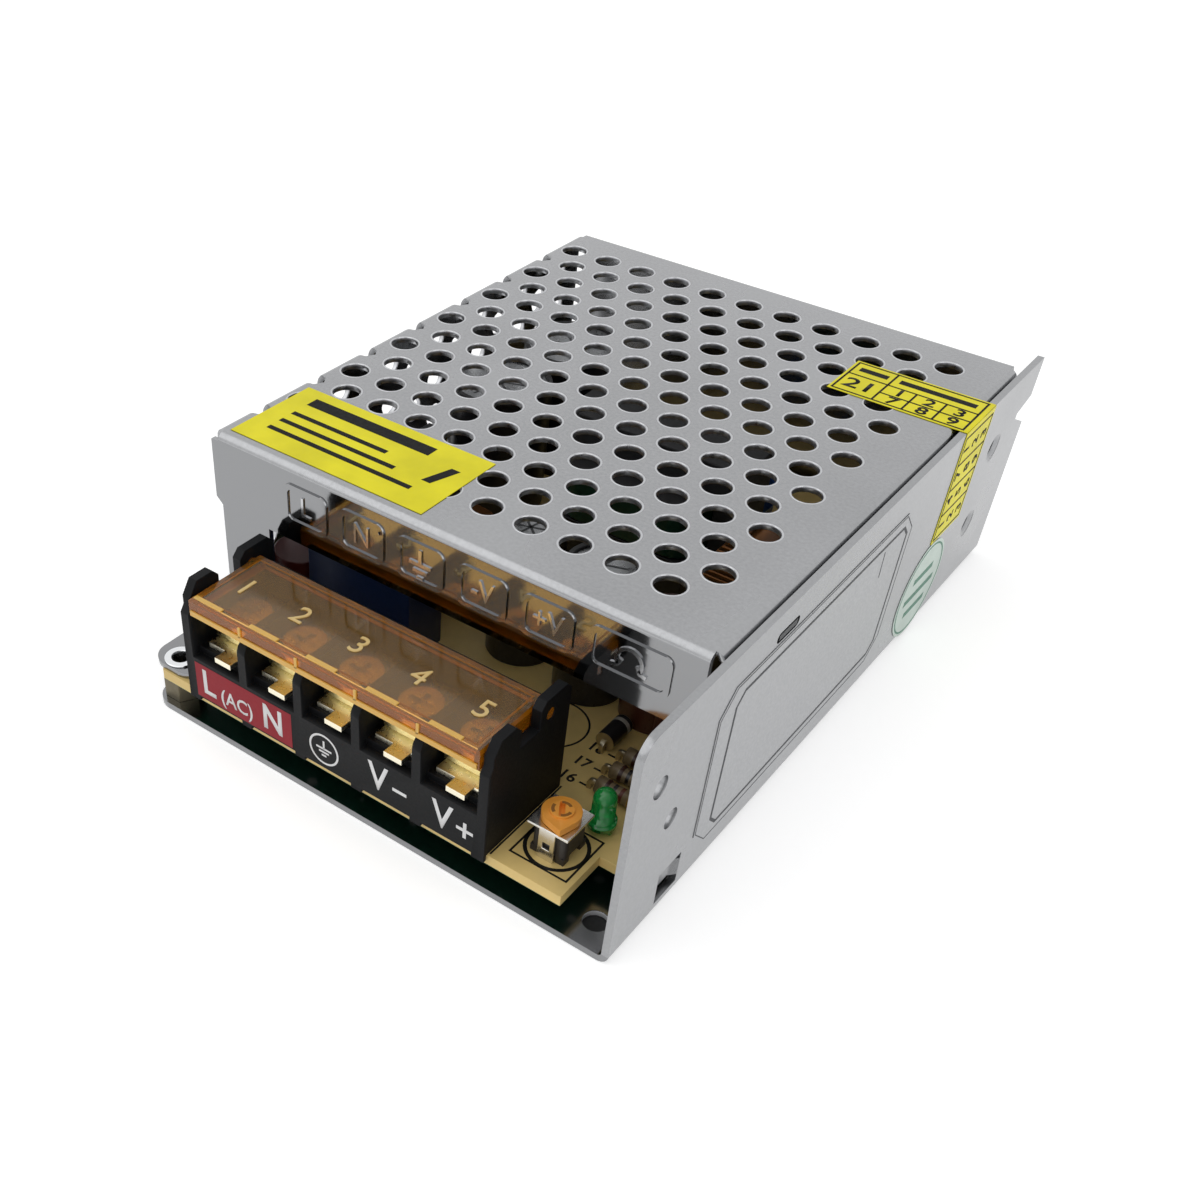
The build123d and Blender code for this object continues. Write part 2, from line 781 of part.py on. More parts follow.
with BuildPart() as trimmer_rotor:
    with BuildSketch(level(trimmer_top + rotor_lift)):
        with Locations((trimmer_x, trimmer_y)):
            Circle(rotor_radius)
        corner = rotor_radius / sqrt(2)
        with Locations(
            (trimmer_x + corner * cos(radians(corner_angle)), trimmer_y + corner * sin(radians(corner_angle)))
        ):
            Rectangle(rotor_radius, rotor_radius, rotation=corner_angle + 45)
    extrude(amount=rotor_sheet)
    with BuildSketch(level(trimmer_top + rotor_lift + rotor_sheet)):
        with Locations((trimmer_x, trimmer_y)):
            Circle(rotor_boss_radius)
    extrude(amount=rotor_boss)
    with BuildSketch(level(trimmer_top + rotor_lift + rotor_sheet + rotor_boss)):
        with Locations((trimmer_x, trimmer_y)):
            SlotOverall(rotor_slot, rotor_slot_width, rotation=corner_angle)
    extrude(amount=-rotor_slot_depth, mode=Mode.SUBTRACT)
    with BuildSketch(level(trimmer_top + rotor_lift)):
        with Locations((trimmer_x, trimmer_y)):
            Circle(rotor_stem_radius)
    extrude(amount=-rotor_sheet)

# Lamp: dome, flange and two leads
lamp_inset = 7.3
lamp_depth = 13.1
lamp_x = board_right - lamp_inset
lamp_y = front + lamp_depth
lamp_seat = 1.0
lamp_height = 5.2
lamp_flange = 1.0
lamp_flange_rim = 0.35
lamp_cap = board_top + lamp_seat + lamp_height - 1.0
lamp_lead = 0.5
lamp_lead_pitch = 2.54

with BuildPart() as indicator_lamp:
    with BuildSketch(Plane.XZ.offset(-lamp_y)):
        with BuildLine():
            Polyline(
                (lamp_x, lamp_cap + lamp_radius),
                (lamp_x, board_top + lamp_seat),
                (lamp_x + lamp_radius + lamp_flange_rim, board_top + lamp_seat),
                (lamp_x + lamp_radius + lamp_flange_rim, board_top + lamp_seat + lamp_flange),
                (lamp_x + lamp_radius, board_top + lamp_seat + lamp_flange),
                (lamp_x + lamp_radius, lamp_cap),
            )
            CenterArc((lamp_x, lamp_cap), lamp_radius, 0, 90)
        make_face()
    revolve(axis=Axis((lamp_x, lamp_y, 0), (0, 0, 1)))
    with BuildSketch(level(board_top)):
        with Locations((lamp_x, lamp_y)):
            with GridLocations(lamp_lead_pitch, 0, 2, 1):
                Rectangle(lamp_lead, lamp_lead)
    extrude(amount=lamp_seat)

# Banded resistors: three axial bodies with swollen ends on bent leads
resistor_inset = 8.2
resistor_x = board_right - resistor_inset
body_lift = 0.15
resistor_z = board_top + resistor_radius + body_lift
resistor_first = 18.5
resistor_pitch = 3.4
resistor_rows = [front + resistor_first + i * resistor_pitch for i in range(3)]
resistor_nose = 0.2
resistor_cap = 1.4
resistor_neck = 0.4
resistor_waist = 0.85 * resistor_radius
lead_reach = 1.0
lead_bend = 0.8

with BuildPart() as band_resistors:
    for y in resistor_rows:
        half = resistor_length / 2
        neck = half - resistor_nose - resistor_cap - resistor_neck
        with BuildSketch(Plane.XZ.offset(-y)):
            with BuildLine():
                Polyline(
                    (resistor_x - half, resistor_z),
                    (resistor_x - half + resistor_nose, resistor_z + resistor_radius),
                    (resistor_x - neck - resistor_neck, resistor_z + resistor_radius),
                    (resistor_x - neck, resistor_z + resistor_waist),
                    (resistor_x + neck, resistor_z + resistor_waist),
                    (resistor_x + neck + resistor_neck, resistor_z + resistor_radius),
                    (resistor_x + half - resistor_nose, resistor_z + resistor_radius),
                    (resistor_x + half, resistor_z),
                    close=True,
                )
            make_face()
        revolve(axis=Axis((resistor_x, y, resistor_z), (1, 0, 0)))
        for way in (-1, 1):
            with BuildSketch(Plane.XZ.offset(-y + lead_radius)):
                with BuildLine():
                    FilletPolyline(
                        (resistor_x + way * half, resistor_z + lead_radius),
                        (resistor_x + way * (half + lead_reach + lead_radius), resistor_z + lead_radius),
                        (resistor_x + way * (half + lead_reach + lead_radius), board_top),
                        radius=lead_bend,
                    )
                    offset(amount=2 * lead_radius, side=Side.RIGHT if way == 1 else Side.LEFT)
                make_face()
            extrude(amount=-2 * lead_radius)

# Axial diode on bent leads
diode_inset = 14.9
diode_depth = 27.9
diode_x = board_right - diode_inset
diode_y = front + diode_depth
diode_radius = 1.35
diode_length = 4.8
diode_lead_reach = 0.5
diode_z = board_top + diode_radius + body_lift
diode_lead_end = diode_length / 2 + diode_lead_reach + lead_radius

with BuildPart() as axial_diode:
    with BuildSketch(Plane.XZ.offset(-diode_y - diode_length / 2)):
        with Locations((diode_x, diode_z)):
            Circle(diode_radius)
    extrude(amount=diode_length)
    for way in (-1, 1):
        with BuildSketch(side_plane(diode_x - lead_radius)):
            with BuildLine():
                FilletPolyline(
                    (diode_y + way * diode_length / 2, diode_z + lead_radius),
                    (diode_y + way * diode_lead_end, diode_z + lead_radius),
                    (diode_y + way * diode_lead_end, board_top),
                    radius=lead_bend - stock_gap,
                )
                offset(amount=2 * lead_radius, side=Side.RIGHT if way == 1 else Side.LEFT)
            make_face()
        extrude(amount=2 * lead_radius)

# Upright cans stand on the board and have a sunk top inside a rolled rim
can_rim = 0.8
can_sink = 0.5

# Output capacitors: two black cans with vented tops
output_can_inset = 24.0
output_can_pitch = 2 * can_radius + 2.2
output_can_depths = (35.7, 36.9)
output_can_places = [
    (board_right - output_can_inset - i * output_can_pitch, front + output_can_depths[i]) for i in range(2)
]

with BuildPart() as output_capacitors:
    with BuildSketch(level(board_top)):
        with Locations(output_can_places):
            Circle(can_radius)
    extrude(amount=can_height)
    with BuildSketch(level(board_top + can_height)):
        with Locations(output_can_places):
            Circle(can_radius - can_rim)
    extrude(amount=-can_sink, mode=Mode.SUBTRACT)

# Brown capacitors, a large and a small one
brown_x = output_can_places[0][0] + 2 * can_radius + sheet_gap
brown_depth = 36.5
brown_y = front + brown_depth
brown_height = 16.0
small_brown_height = 11.0
small_brown_radius = 3.15
small_brown_shift = 6.1
small_brown_gap = 1.25
small_brown_x = brown_x + small_brown_shift
small_brown_y = resistor_rows[-1] + resistor_radius + small_brown_gap + small_brown_radius

with BuildPart() as brown_capacitor:
    with BuildSketch(level(board_top)):
        with Locations((brown_x, brown_y)):
            Circle(can_radius)
    extrude(amount=brown_height)
    with BuildSketch(level(board_top + brown_height)):
        with Locations((brown_x, brown_y)):
            Circle(can_radius - can_rim)
    extrude(amount=-can_sink, mode=Mode.SUBTRACT)

with BuildPart() as small_brown_capacitor:
    with BuildSketch(level(board_top)):
        with Locations((small_brown_x, small_brown_y)):
            Circle(small_brown_radius)
    extrude(amount=small_brown_height)
    with BuildSketch(level(board_top + small_brown_height)):
        with Locations((small_brown_x, small_brown_y)):
            Circle(small_brown_radius - can_rim)
    extrude(amount=-can_sink, mode=Mode.SUBTRACT)

# Bulk capacitors at the back left
bulk_radius = case_length / 14
bulk_side_gap = 1.4
bulk_stagger = 1.5
bulk_gap = 2.0
bulk_back_gap = 18.8 - bulk_radius
bulk_y = board_back - bulk_back_gap - bulk_radius
bulk_places = [
    (board_left + bulk_side_gap + bulk_stagger + bulk_radius, bulk_y),
    (board_left + bulk_side_gap + bulk_radius, bulk_y - 2 * bulk_radius - bulk_gap),
]

with BuildPart() as bulk_capacitors:
    with BuildSketch(level(board_top)):
        with Locations(bulk_places):
            Circle(bulk_radius)
    extrude(amount=can_height)
    with BuildSketch(level(board_top + can_height)):
        with Locations(bulk_places):
            Circle(bulk_radius - can_rim)
    extrude(amount=-can_sink, mode=Mode.SUBTRACT)

# Film capacitor behind the block
film_cap_size = (board_width / 4, 7.5, 15.0)
film_cap_inset = 8.9
film_cap_depth = 23.0
film_cap_chamfer = 0.5
film_cap_place = (
    board_left + film_cap_inset + film_cap_size[0] / 2,
    front + film_cap_depth + film_cap_size[1] / 2,
)

with BuildPart() as film_capacitor:
    with BuildSketch(level(board_top)):
        with Locations(film_cap_place):
            Rectangle(film_cap_size[0], film_cap_size[1])
    extrude(amount=film_cap_size[2])
    chamfer(film_capacitor.faces().sort_by(Axis.Z)[-1].edges(), length=film_cap_chamfer)

# Mains side: fuse, thermistor, choke and bridge rectifier
fuse_radius = 4.0
fuse_height = 8.0
fuse_depth = 26.5
thermistor_radius = 4.5
thermistor_sheet = 4.0
thermistor_depth = 34.0
part_lift = 2.0
thermistor_place = (board_left + thermistor_radius + sheet_gap, board_top + part_lift + thermistor_radius)
leg_pitch = 5.0
thermistor_leg = 0.8
choke_x = board_left + 0.24 * board_width
choke_y = front + 43.0
choke_outer = 8.0
choke_inner = 4.5
choke_depth = 6.0
choke_wire = 1.0
bridge_length = 15.0
bridge_depth = 3.5
bridge_height = 11.0
bridge_side_gap = 1.4
bridge_reach = 0.5
bridge_y = bulk_places[1][1] - bulk_radius - bridge_length / 2 + bridge_reach
bridge_place = (board_left + bridge_side_gap + bridge_depth / 2, bridge_y)
bridge_leg = (0.6, 1.0)
bridge_leg_pitch = 4.0

with BuildPart() as fuse:
    with BuildSketch(level(board_top)):
        with Locations((board_left + fuse_radius + sheet_gap, front + fuse_depth)):
            Circle(fuse_radius)
    extrude(amount=fuse_height)

with BuildPart() as thermistor:
    with BuildSketch(depth_plane(thermistor_depth + thermistor_sheet / 2)):
        with Locations(thermistor_place):
            Circle(thermistor_radius)
            with GridLocations(leg_pitch, 0, 2, 1):
                with Locations((0, -(thermistor_radius + part_lift) / 2)):
                    Rectangle(thermistor_leg, thermistor_radius + part_lift)
    extrude(amount=thermistor_sheet)

with BuildPart() as choke_core:
    with BuildSketch(level(board_top + choke_wire + stock_gap)):
        with Locations((choke_x, choke_y)):
            Circle(choke_outer)
            Circle(choke_inner, mode=Mode.SUBTRACT)
    extrude(amount=choke_depth)

with BuildPart() as choke_windings:
    winding_span = 130
    winding_start = 25
    choke_middle = board_top + choke_wire + stock_gap + choke_depth / 2
    for turn in (winding_start, winding_start + 180):
        along = (cos(radians(turn)), sin(radians(turn)), 0)
        across = (sin(radians(turn)), -cos(radians(turn)), 0)
        with BuildSketch(Plane((choke_x, choke_y, 0), x_dir=along, z_dir=across)):
            with Locations(((choke_outer + choke_inner) / 2, choke_middle)):
                Rectangle(
                    choke_outer - choke_inner + 2 * (choke_wire + stock_gap),
                    choke_depth + 2 * (choke_wire + stock_gap),
                )
                Rectangle(
                    choke_outer - choke_inner + 2 * stock_gap, choke_depth + 2 * stock_gap, mode=Mode.SUBTRACT
                )
        revolve(axis=Axis((choke_x, choke_y, 0), (0, 0, 1)), revolution_arc=winding_span)

with BuildPart() as bridge_rectifier:
    with BuildSketch(level(board_top)):
        with Locations(bridge_place):
            with GridLocations(0, bridge_leg_pitch, 1, 4):
                Rectangle(*bridge_leg)
    extrude(amount=part_lift)
    with BuildSketch(level(board_top + part_lift)):
        with Locations(bridge_place):
            Rectangle(bridge_depth, bridge_length)
    extrude(amount=bridge_height)

# Transformer: bobbin, winding and core, to the left of the output choke
inductor_x = board_right - 11.2
inductor_y = front + 61.0
inductor_outer = 7.4
inductor_inner = 4.2
inductor_depth = 6.0
inductor_z = board_top + sheet_gap + inductor_outer + choke_wire + stock_gap
inductor_gap = 0.5
core_width = 0.4132 * board_width
transformer_x = inductor_x - inductor_outer - choke_wire - stock_gap - inductor_gap - core_width / 2
transformer_y = front + 0.6295 * case_length
core_depth = 10.0
core_height = 19.0
core_lift = 1.5
yoke = 4.5
outer_leg = 3.5
centre_leg = 10.0
bobbin_sheet = 0.7
flange_sheet = 0.8
winding_width = core_width - 2 * outer_leg - 4 * stock_gap
winding_depth = 22.0
winding_corner = 4.0
bobbin_foot = 4.0
coil_gap = bobbin_sheet + stock_gap
window_low = board_top + core_lift + yoke
window_high = board_top + core_lift + core_height - yoke

with BuildPart() as transformer_core:
    with BuildSketch(Plane.XZ.offset(-transformer_y)):
        with Locations((transformer_x, board_top + core_lift + core_height / 2)):
            Rectangle(core_width, core_height)
            with GridLocations((centre_leg + core_width - 2 * outer_leg) / 2, 0, 2, 1):
                Rectangle(
                    (core_width - 2 * outer_leg - centre_leg) / 2, core_height - 2 * yoke, mode=Mode.SUBTRACT
                )
    extrude(amount=core_depth / 2, both=True)

with BuildPart() as transformer_bobbin:
    with BuildSketch(level(window_low + stock_gap)):
        with Locations((transformer_x, transformer_y)):
            Rectangle(centre_leg + 2 * coil_gap, core_depth + 2 * coil_gap)
    extrude(amount=window_high - window_low - 2 * stock_gap)
    with BuildSketch(level(window_low + stock_gap), level(window_high - stock_gap - flange_sheet)):
        with Locations((transformer_x, transformer_y)):
            Rectangle(winding_width, winding_depth)
    extrude(amount=flange_sheet)
    with BuildSketch(level(board_top)):
        with Locations((transformer_x, transformer_y)):
            with GridLocations(0, winding_depth - bobbin_foot, 1, 2):
                Rectangle(winding_width, bobbin_foot)
    extrude(amount=window_low + stock_gap - board_top)
    with BuildSketch(level(board_top)):
        with Locations((transformer_x, transformer_y)):
            Rectangle(centre_leg + 2 * stock_gap, core_depth + 2 * stock_gap)
    extrude(amount=case_height, mode=Mode.SUBTRACT)

with BuildPart() as transformer_winding:
    with BuildSketch(level(window_low + 2 * stock_gap + flange_sheet)):
        with Locations((transformer_x, transformer_y)):
            RectangleRounded(winding_width, winding_depth, winding_corner)
            Rectangle(
                centre_leg + 2 * (coil_gap + stock_gap),
                core_depth + 2 * (coil_gap + stock_gap),
                mode=Mode.SUBTRACT,
            )
    extrude(amount=window_high - window_low - 4 * stock_gap - 2 * flange_sheet)

# Output choke: an upright ring with one winding
with BuildPart() as inductor_core:
    with BuildSketch(Plane.XZ.offset(-inductor_y)):
        with Locations((inductor_x, inductor_z)):
            Circle(inductor_outer)
            Circle(inductor_inner, mode=Mode.SUBTRACT)
    extrude(amount=inductor_depth / 2, both=True)

inductor_span = 300

with BuildPart() as inductor_winding:
    with BuildSketch(Plane((inductor_x, inductor_y, inductor_z), x_dir=(1, 0, 0), z_dir=(0, 0, 1))):
        with Locations(((inductor_outer + inductor_inner) / 2, 0)):
            Rectangle(
                inductor_outer - inductor_inner + 2 * (choke_wire + stock_gap),
                inductor_depth + 2 * (choke_wire + stock_gap),
            )
            Rectangle(
                inductor_outer - inductor_inner + 2 * stock_gap,
                inductor_depth + 2 * stock_gap,
                mode=Mode.SUBTRACT,
            )
    revolve(axis=Axis((inductor_x, inductor_y, inductor_z), (0, 1, 0)), revolution_arc=inductor_span)

# Control parts
chip_size = (9.6, 6.4, 3.4)
chip_place = (board_right - 16.2, front + 49.0)
coupler_size = (4.6, 6.4, 3.4)
coupler_place = (block_x + 12.1, front + 48.5)
chip_lift = 0.5
chip_pin = (0.6, 0.4)
chip_pin_pitch = 2.54
disc_radius = 4.0
disc_sheet = 3.0
disc_lift = 1.5
disc_leg = 0.7
disc_spread = 6.0
disc_x = transformer_x + 2.0
disc_y = board_back - 15.8

with BuildPart() as controller_chip:
    with BuildSketch(level(board_top + chip_lift)):
        with Locations(chip_place):
            Rectangle(chip_size[0], chip_size[1])
    extrude(amount=chip_size[2])
    with BuildSketch(level(board_top)):
        with Locations(chip_place):
            with GridLocations(chip_pin_pitch, chip_size[1] + chip_pin[1], 4, 2):
                Rectangle(*chip_pin)
    extrude(amount=chip_lift + chip_size[2] / 2)

with BuildPart() as optocoupler:
    with BuildSketch(level(board_top + chip_lift)):
        with Locations(coupler_place):
            Rectangle(coupler_size[0], coupler_size[1])
    extrude(amount=coupler_size[2])
    with BuildSketch(level(board_top)):
        with Locations(coupler_place):
            with GridLocations(chip_pin_pitch, coupler_size[1] + chip_pin[1], 2, 2):
                Rectangle(*chip_pin)
    extrude(amount=chip_lift + coupler_size[2] / 2)

with BuildPart() as disc_capacitors:
    for x in (disc_x - disc_spread, disc_x + disc_spread):
        with BuildSketch(Plane.XZ.offset(-disc_y - disc_sheet / 2)):
            with Locations((x, board_top + disc_lift + disc_radius)):
                Circle(disc_radius)
                with GridLocations(leg_pitch, 0, 2, 1):
                    with Locations((0, -(disc_radius + disc_lift) / 2)):
                        Rectangle(disc_leg, disc_radius + disc_lift)
        extrude(amount=disc_sheet)

# Power devices on the wall, their pads and screws
device_back = wall_inside - pad_sheet
leg_width = 0.8
leg_sheet = 0.5
leg_step = 0.7
device_leg_pitch = 2.54
pad_margin = 1.0
device_screw_radius = 1.35

# Each is a flat package with a drilled metal tab, standing against the wall on three legs
power_devices = []
for depth in device_places:
    with BuildPart() as power_device:
        with BuildSketch(side_plane(device_back - tab_sheet)):
            with Locations((front + depth, board_top + device_lift + device_tab / 2)):
                Rectangle(device_width, device_tab)
            with Locations((front + depth, device_hole_z)):
                Circle(device_hole_radius + stock_gap, mode=Mode.SUBTRACT)
        extrude(amount=tab_sheet)
        with BuildSketch(side_plane(device_back - device_depth)):
            with Locations((front + depth, board_top + device_lift + device_body / 2)):
                Rectangle(device_width, device_body)
        extrude(amount=device_depth - tab_sheet)
        with BuildSketch(side_plane(device_back - tab_sheet - leg_sheet - leg_step)):
            with Locations((front + depth, board_top + device_lift / 2)):
                with GridLocations(device_leg_pitch, 0, 3, 1):
                    Rectangle(leg_width, device_lift)
        extrude(amount=leg_sheet)
    power_devices.append(power_device)
output_rectifier, switching_transistor = power_devices

with BuildPart() as insulating_pads:
    with BuildSketch(side_plane(device_back)):
        with Locations([(front + d, board_top + device_lift + device_tab / 2) for d in device_places]):
            Rectangle(device_width + 2 * pad_margin, device_tab + 2 * pad_margin)
        with Locations([(front + d, device_hole_z) for d in device_places]):
            Circle(device_hole_radius, mode=Mode.SUBTRACT)
    extrude(amount=pad_sheet)

with BuildPart() as device_screws:
    with BuildSketch(side_plane(device_back - tab_sheet)):
        with Locations([(front + d, device_hole_z) for d in device_places]):
            Circle(head_radius)
    extrude(amount=-head_height)
    with BuildSketch(side_plane(device_back - tab_sheet)):
        with Locations([(front + d, device_hole_z) for d in device_places]):
            Circle(device_screw_radius)
    extrude(amount=tab_sheet + pad_sheet + base_sheet - stock_gap)

# Labels
side_label_front = 17.5
side_label_back = case_length - 42.2
side_label_low = 4.6
side_label_high = case_height - 4.9
side_label_corner = 3.0
label_gap = 0.2
round_label_depth = case_length - 28.5
round_label_z = 8.3
round_label_radius = 7.8
yellow_left = left + 2.0
yellow_right = yellow_left + 32.2
yellow_front = 19.3
yellow_back = 34.8
date_left = right - 20.6
date_back = case_length - 19.2
date_front = date_back - 10.4
date_bottom = round_label_z + round_label_radius + label_gap

with BuildPart() as side_label:
    with BuildSketch(side_plane(right)) as side_outline:
        with Locations(
            (front + (side_label_front + side_label_back) / 2, (side_label_low + side_label_high) / 2)
        ):
            Rectangle(side_label_back - side_label_front, side_label_high - side_label_low)
        chamfer(side_outline.vertices(), length=side_label_corner)
    extrude(amount=label_sheet)

with BuildPart() as inspection_sticker:
    with BuildSketch(side_plane(right)):
        with Locations((front + round_label_depth, round_label_z)):
            Circle(round_label_radius)
    extrude(amount=label_sheet)

with BuildPart() as yellow_sticker:
    with BuildSketch(level(case_height)):
        with Locations(((yellow_left + yellow_right) / 2, front + (yellow_front + yellow_back) / 2)):
            Rectangle(yellow_right - yellow_left, yellow_back - yellow_front)
    extrude(amount=label_sheet)

with BuildPart() as date_sticker:
    with BuildSketch(depth_plane(date_back)):
        with BuildLine():
            Polyline((date_left, case_height), (right, case_height), (right, date_bottom))
            offset(amount=label_sheet, side=Side.LEFT)
        make_face()
    extrude(amount=date_back - date_front)

# One STEP file for each piece
pieces = {
    "base_chassis": base_chassis,
    "perforated_cover": perforated_cover,
    "circuit_board": circuit_board,
    "board_spacers": board_spacers,
    "board_screws": board_screws,
    "foot_eyelet": foot_eyelet,
    "insulating_film": insulating_film,
    "terminal_block_body": terminal_block_body,
    "terminal_contacts": terminal_contacts,
    "clamp_washers": clamp_washers,
    "terminal_screws": terminal_screws,
    "terminal_cover": terminal_cover,
    "trimmer_base": trimmer_base,
    "trimmer_frame": trimmer_frame,
    "trimmer_rotor": trimmer_rotor,
    "indicator_lamp": indicator_lamp,
    "band_resistors": band_resistors,
    "axial_diode": axial_diode,
    "output_capacitors": output_capacitors,
    "brown_capacitor": brown_capacitor,
    "small_brown_capacitor": small_brown_capacitor,
    "bulk_capacitors": bulk_capacitors,
    "film_capacitor": film_capacitor,
    "fuse": fuse,
    "thermistor": thermistor,
    "choke_core": choke_core,
    "choke_windings": choke_windings,
    "bridge_rectifier": bridge_rectifier,
    "transformer_core": transformer_core,
    "transformer_bobbin": transformer_bobbin,
    "transformer_winding": transformer_winding,
    "inductor_core": inductor_core,
    "inductor_winding": inductor_winding,
    "controller_chip": controller_chip,
    "optocoupler": optocoupler,
    "disc_capacitors": disc_capacitors,
    "output_rectifier": output_rectifier,
    "switching_transistor": switching_transistor,
    "insulating_pads": insulating_pads,
    "device_screws": device_screws,
    "side_label": side_label,
    "inspection_sticker": inspection_sticker,
    "yellow_sticker": yellow_sticker,
    "date_sticker": date_sticker,
}

os.makedirs("parts", exist_ok=True)
for node_name, piece in pieces.items():
    piece.part.label = node_name
    export_step(piece.part, f"parts/{node_name}.step")
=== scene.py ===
"""Finishes, print and studio for a mesh case switching power supply, laid out as a Blender add-on."""

import math

import bmesh
import bpy
from mathutils import Matrix, Vector


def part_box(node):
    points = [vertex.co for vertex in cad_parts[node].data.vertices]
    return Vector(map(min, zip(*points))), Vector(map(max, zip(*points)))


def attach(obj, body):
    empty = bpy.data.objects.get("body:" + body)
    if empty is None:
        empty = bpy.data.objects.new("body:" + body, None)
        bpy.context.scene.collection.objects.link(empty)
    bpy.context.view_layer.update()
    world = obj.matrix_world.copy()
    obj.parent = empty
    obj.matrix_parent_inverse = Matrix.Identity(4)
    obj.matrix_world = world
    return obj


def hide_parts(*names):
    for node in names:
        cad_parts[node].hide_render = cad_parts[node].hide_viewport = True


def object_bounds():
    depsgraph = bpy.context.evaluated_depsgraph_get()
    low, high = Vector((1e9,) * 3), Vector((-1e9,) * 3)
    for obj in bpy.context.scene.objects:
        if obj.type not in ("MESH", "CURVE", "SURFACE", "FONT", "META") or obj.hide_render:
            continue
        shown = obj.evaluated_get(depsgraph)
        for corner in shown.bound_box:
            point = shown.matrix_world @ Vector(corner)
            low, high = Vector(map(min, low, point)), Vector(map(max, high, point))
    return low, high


bl_info = {
    "name": "Mesh case power supply",
    "version": (1, 0, 0),
    "blender": (4, 5, 0),
    "location": "View3D > Sidebar > Power supply",
    "description": "Dresses the packed power supply: metal, plastics, print, lights and camera",
    "category": "Object",
}

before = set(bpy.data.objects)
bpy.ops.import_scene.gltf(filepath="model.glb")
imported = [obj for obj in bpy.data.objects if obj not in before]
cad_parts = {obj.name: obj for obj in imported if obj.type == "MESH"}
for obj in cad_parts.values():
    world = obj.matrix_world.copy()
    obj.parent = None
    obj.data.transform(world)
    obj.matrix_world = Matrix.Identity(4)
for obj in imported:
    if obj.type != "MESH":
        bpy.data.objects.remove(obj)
CAD_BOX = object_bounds()
MM = 0.001

# Places that the print and the small pieces are set from, in millimetres
FRONT = -56.0
WAYS = [-23.1 + 9.5 * i for i in range(5)]
COVER_FRONT = -38.5
COVER_TOP = 34.0
WALL = 39.0
BOARD_TOP = 6.0
# Planes just inside the lid's top and front faces, which its raised strokes grow out of
LID_TOP = 21.79
LID_FRONT = -55.79
ROTOR_AXIS = (26.45, -48.7)
# Thickness of the labels and of a printed layer, and how far a label is sunk under its print
LABEL = 0.12
PRINT = 0.02
SUNK = 1.5 * PRINT
# Middle of the slot at the top of the solid wall, its half length, and the height that it ends at
SLOT_MIDDLE = -23.8
SLOT_HALF = 3.0
SLOT_END = 31.5
# A wave texture at scale 1 has this many bands in each unit of length
WAVE_BANDS = 3.18


def linear(code):
    """An sRGB hex colour, or a colour setting, as linear red, green, blue and 1."""
    if not isinstance(code, str):
        return (code[0], code[1], code[2], 1.0)
    parts = [int(code[i : i + 2], 16) / 255 for i in (1, 3, 5)]
    return tuple(c / 12.92 if c <= 0.04045 else ((c + 0.055) / 1.055) ** 2.4 for c in parts) + (1.0,)


def shade(colour, share):
    """The same colour at that share of its light."""
    return tuple(part * share for part in linear(colour)[:3])


def add(tree, kind, inputs=None, **settings):
    """Adds a node. settings are its own properties; inputs are values, nodes or sockets by name or number."""
    node = tree.nodes.new(kind)
    for name, value in settings.items():
        setattr(node, name, value)
    for key, value in (inputs or {}).items():
        if isinstance(value, bpy.types.Node):
            value = value.outputs[0]
        if isinstance(value, bpy.types.NodeSocket):
            tree.links.new(value, node.inputs[key])
        else:
            node.inputs[key].default_value = value
    return node


def finish(name):
    """An empty material with its shader and output: (material, tree, shader)."""
    material = bpy.data.materials.new(name)
    material.use_nodes = True
    tree = material.node_tree
    tree.nodes.clear()
    shader = add(tree, "ShaderNodeBsdfPrincipled")
    add(tree, "ShaderNodeOutputMaterial", {"Surface": shader})
    return material, tree, shader


def grain(tree, shader, size_mm, depth_mm, strength=1.0, stretch=(1, 1, 1)):
    """Surface relief of that grain size, from Object coordinates. Gives the noise it is made of."""
    place = add(tree, "ShaderNodeTexCoord").outputs["Object"]
    stretched = add(tree, "ShaderNodeMapping", {"Vector": place, "Scale": stretch})
    noise = add(tree, "ShaderNodeTexNoise", {"Vector": stretched, "Scale": 1000 / size_mm, "Detail": 3.0})
    bump = add(tree, "ShaderNodeBump", {"Height": noise, "Distance": depth_mm * MM, "Strength": strength})
    tree.links.new(bump.outputs[0], shader.inputs["Normal"])
    return noise


def vary(tree, factor, low, high):
    """A value that runs from low to high as factor goes from 0.3 to 0.7."""
    return add(
        tree,
        "ShaderNodeMapRange",
        {"Value": factor, "From Min": 0.3, "From Max": 0.7, "To Min": low, "To Max": high},
    )


def blend_colours(tree, factor, first, second):
    """A colour between two colours or sockets."""
    ends = [end if isinstance(end, bpy.types.NodeSocket) else linear(end) for end in (first, second)]
    mixed = add(tree, "ShaderNodeMix", {"Factor": factor, "A": ends[0], "B": ends[1]}, data_type="RGBA")
    return mixed.outputs["Result"]


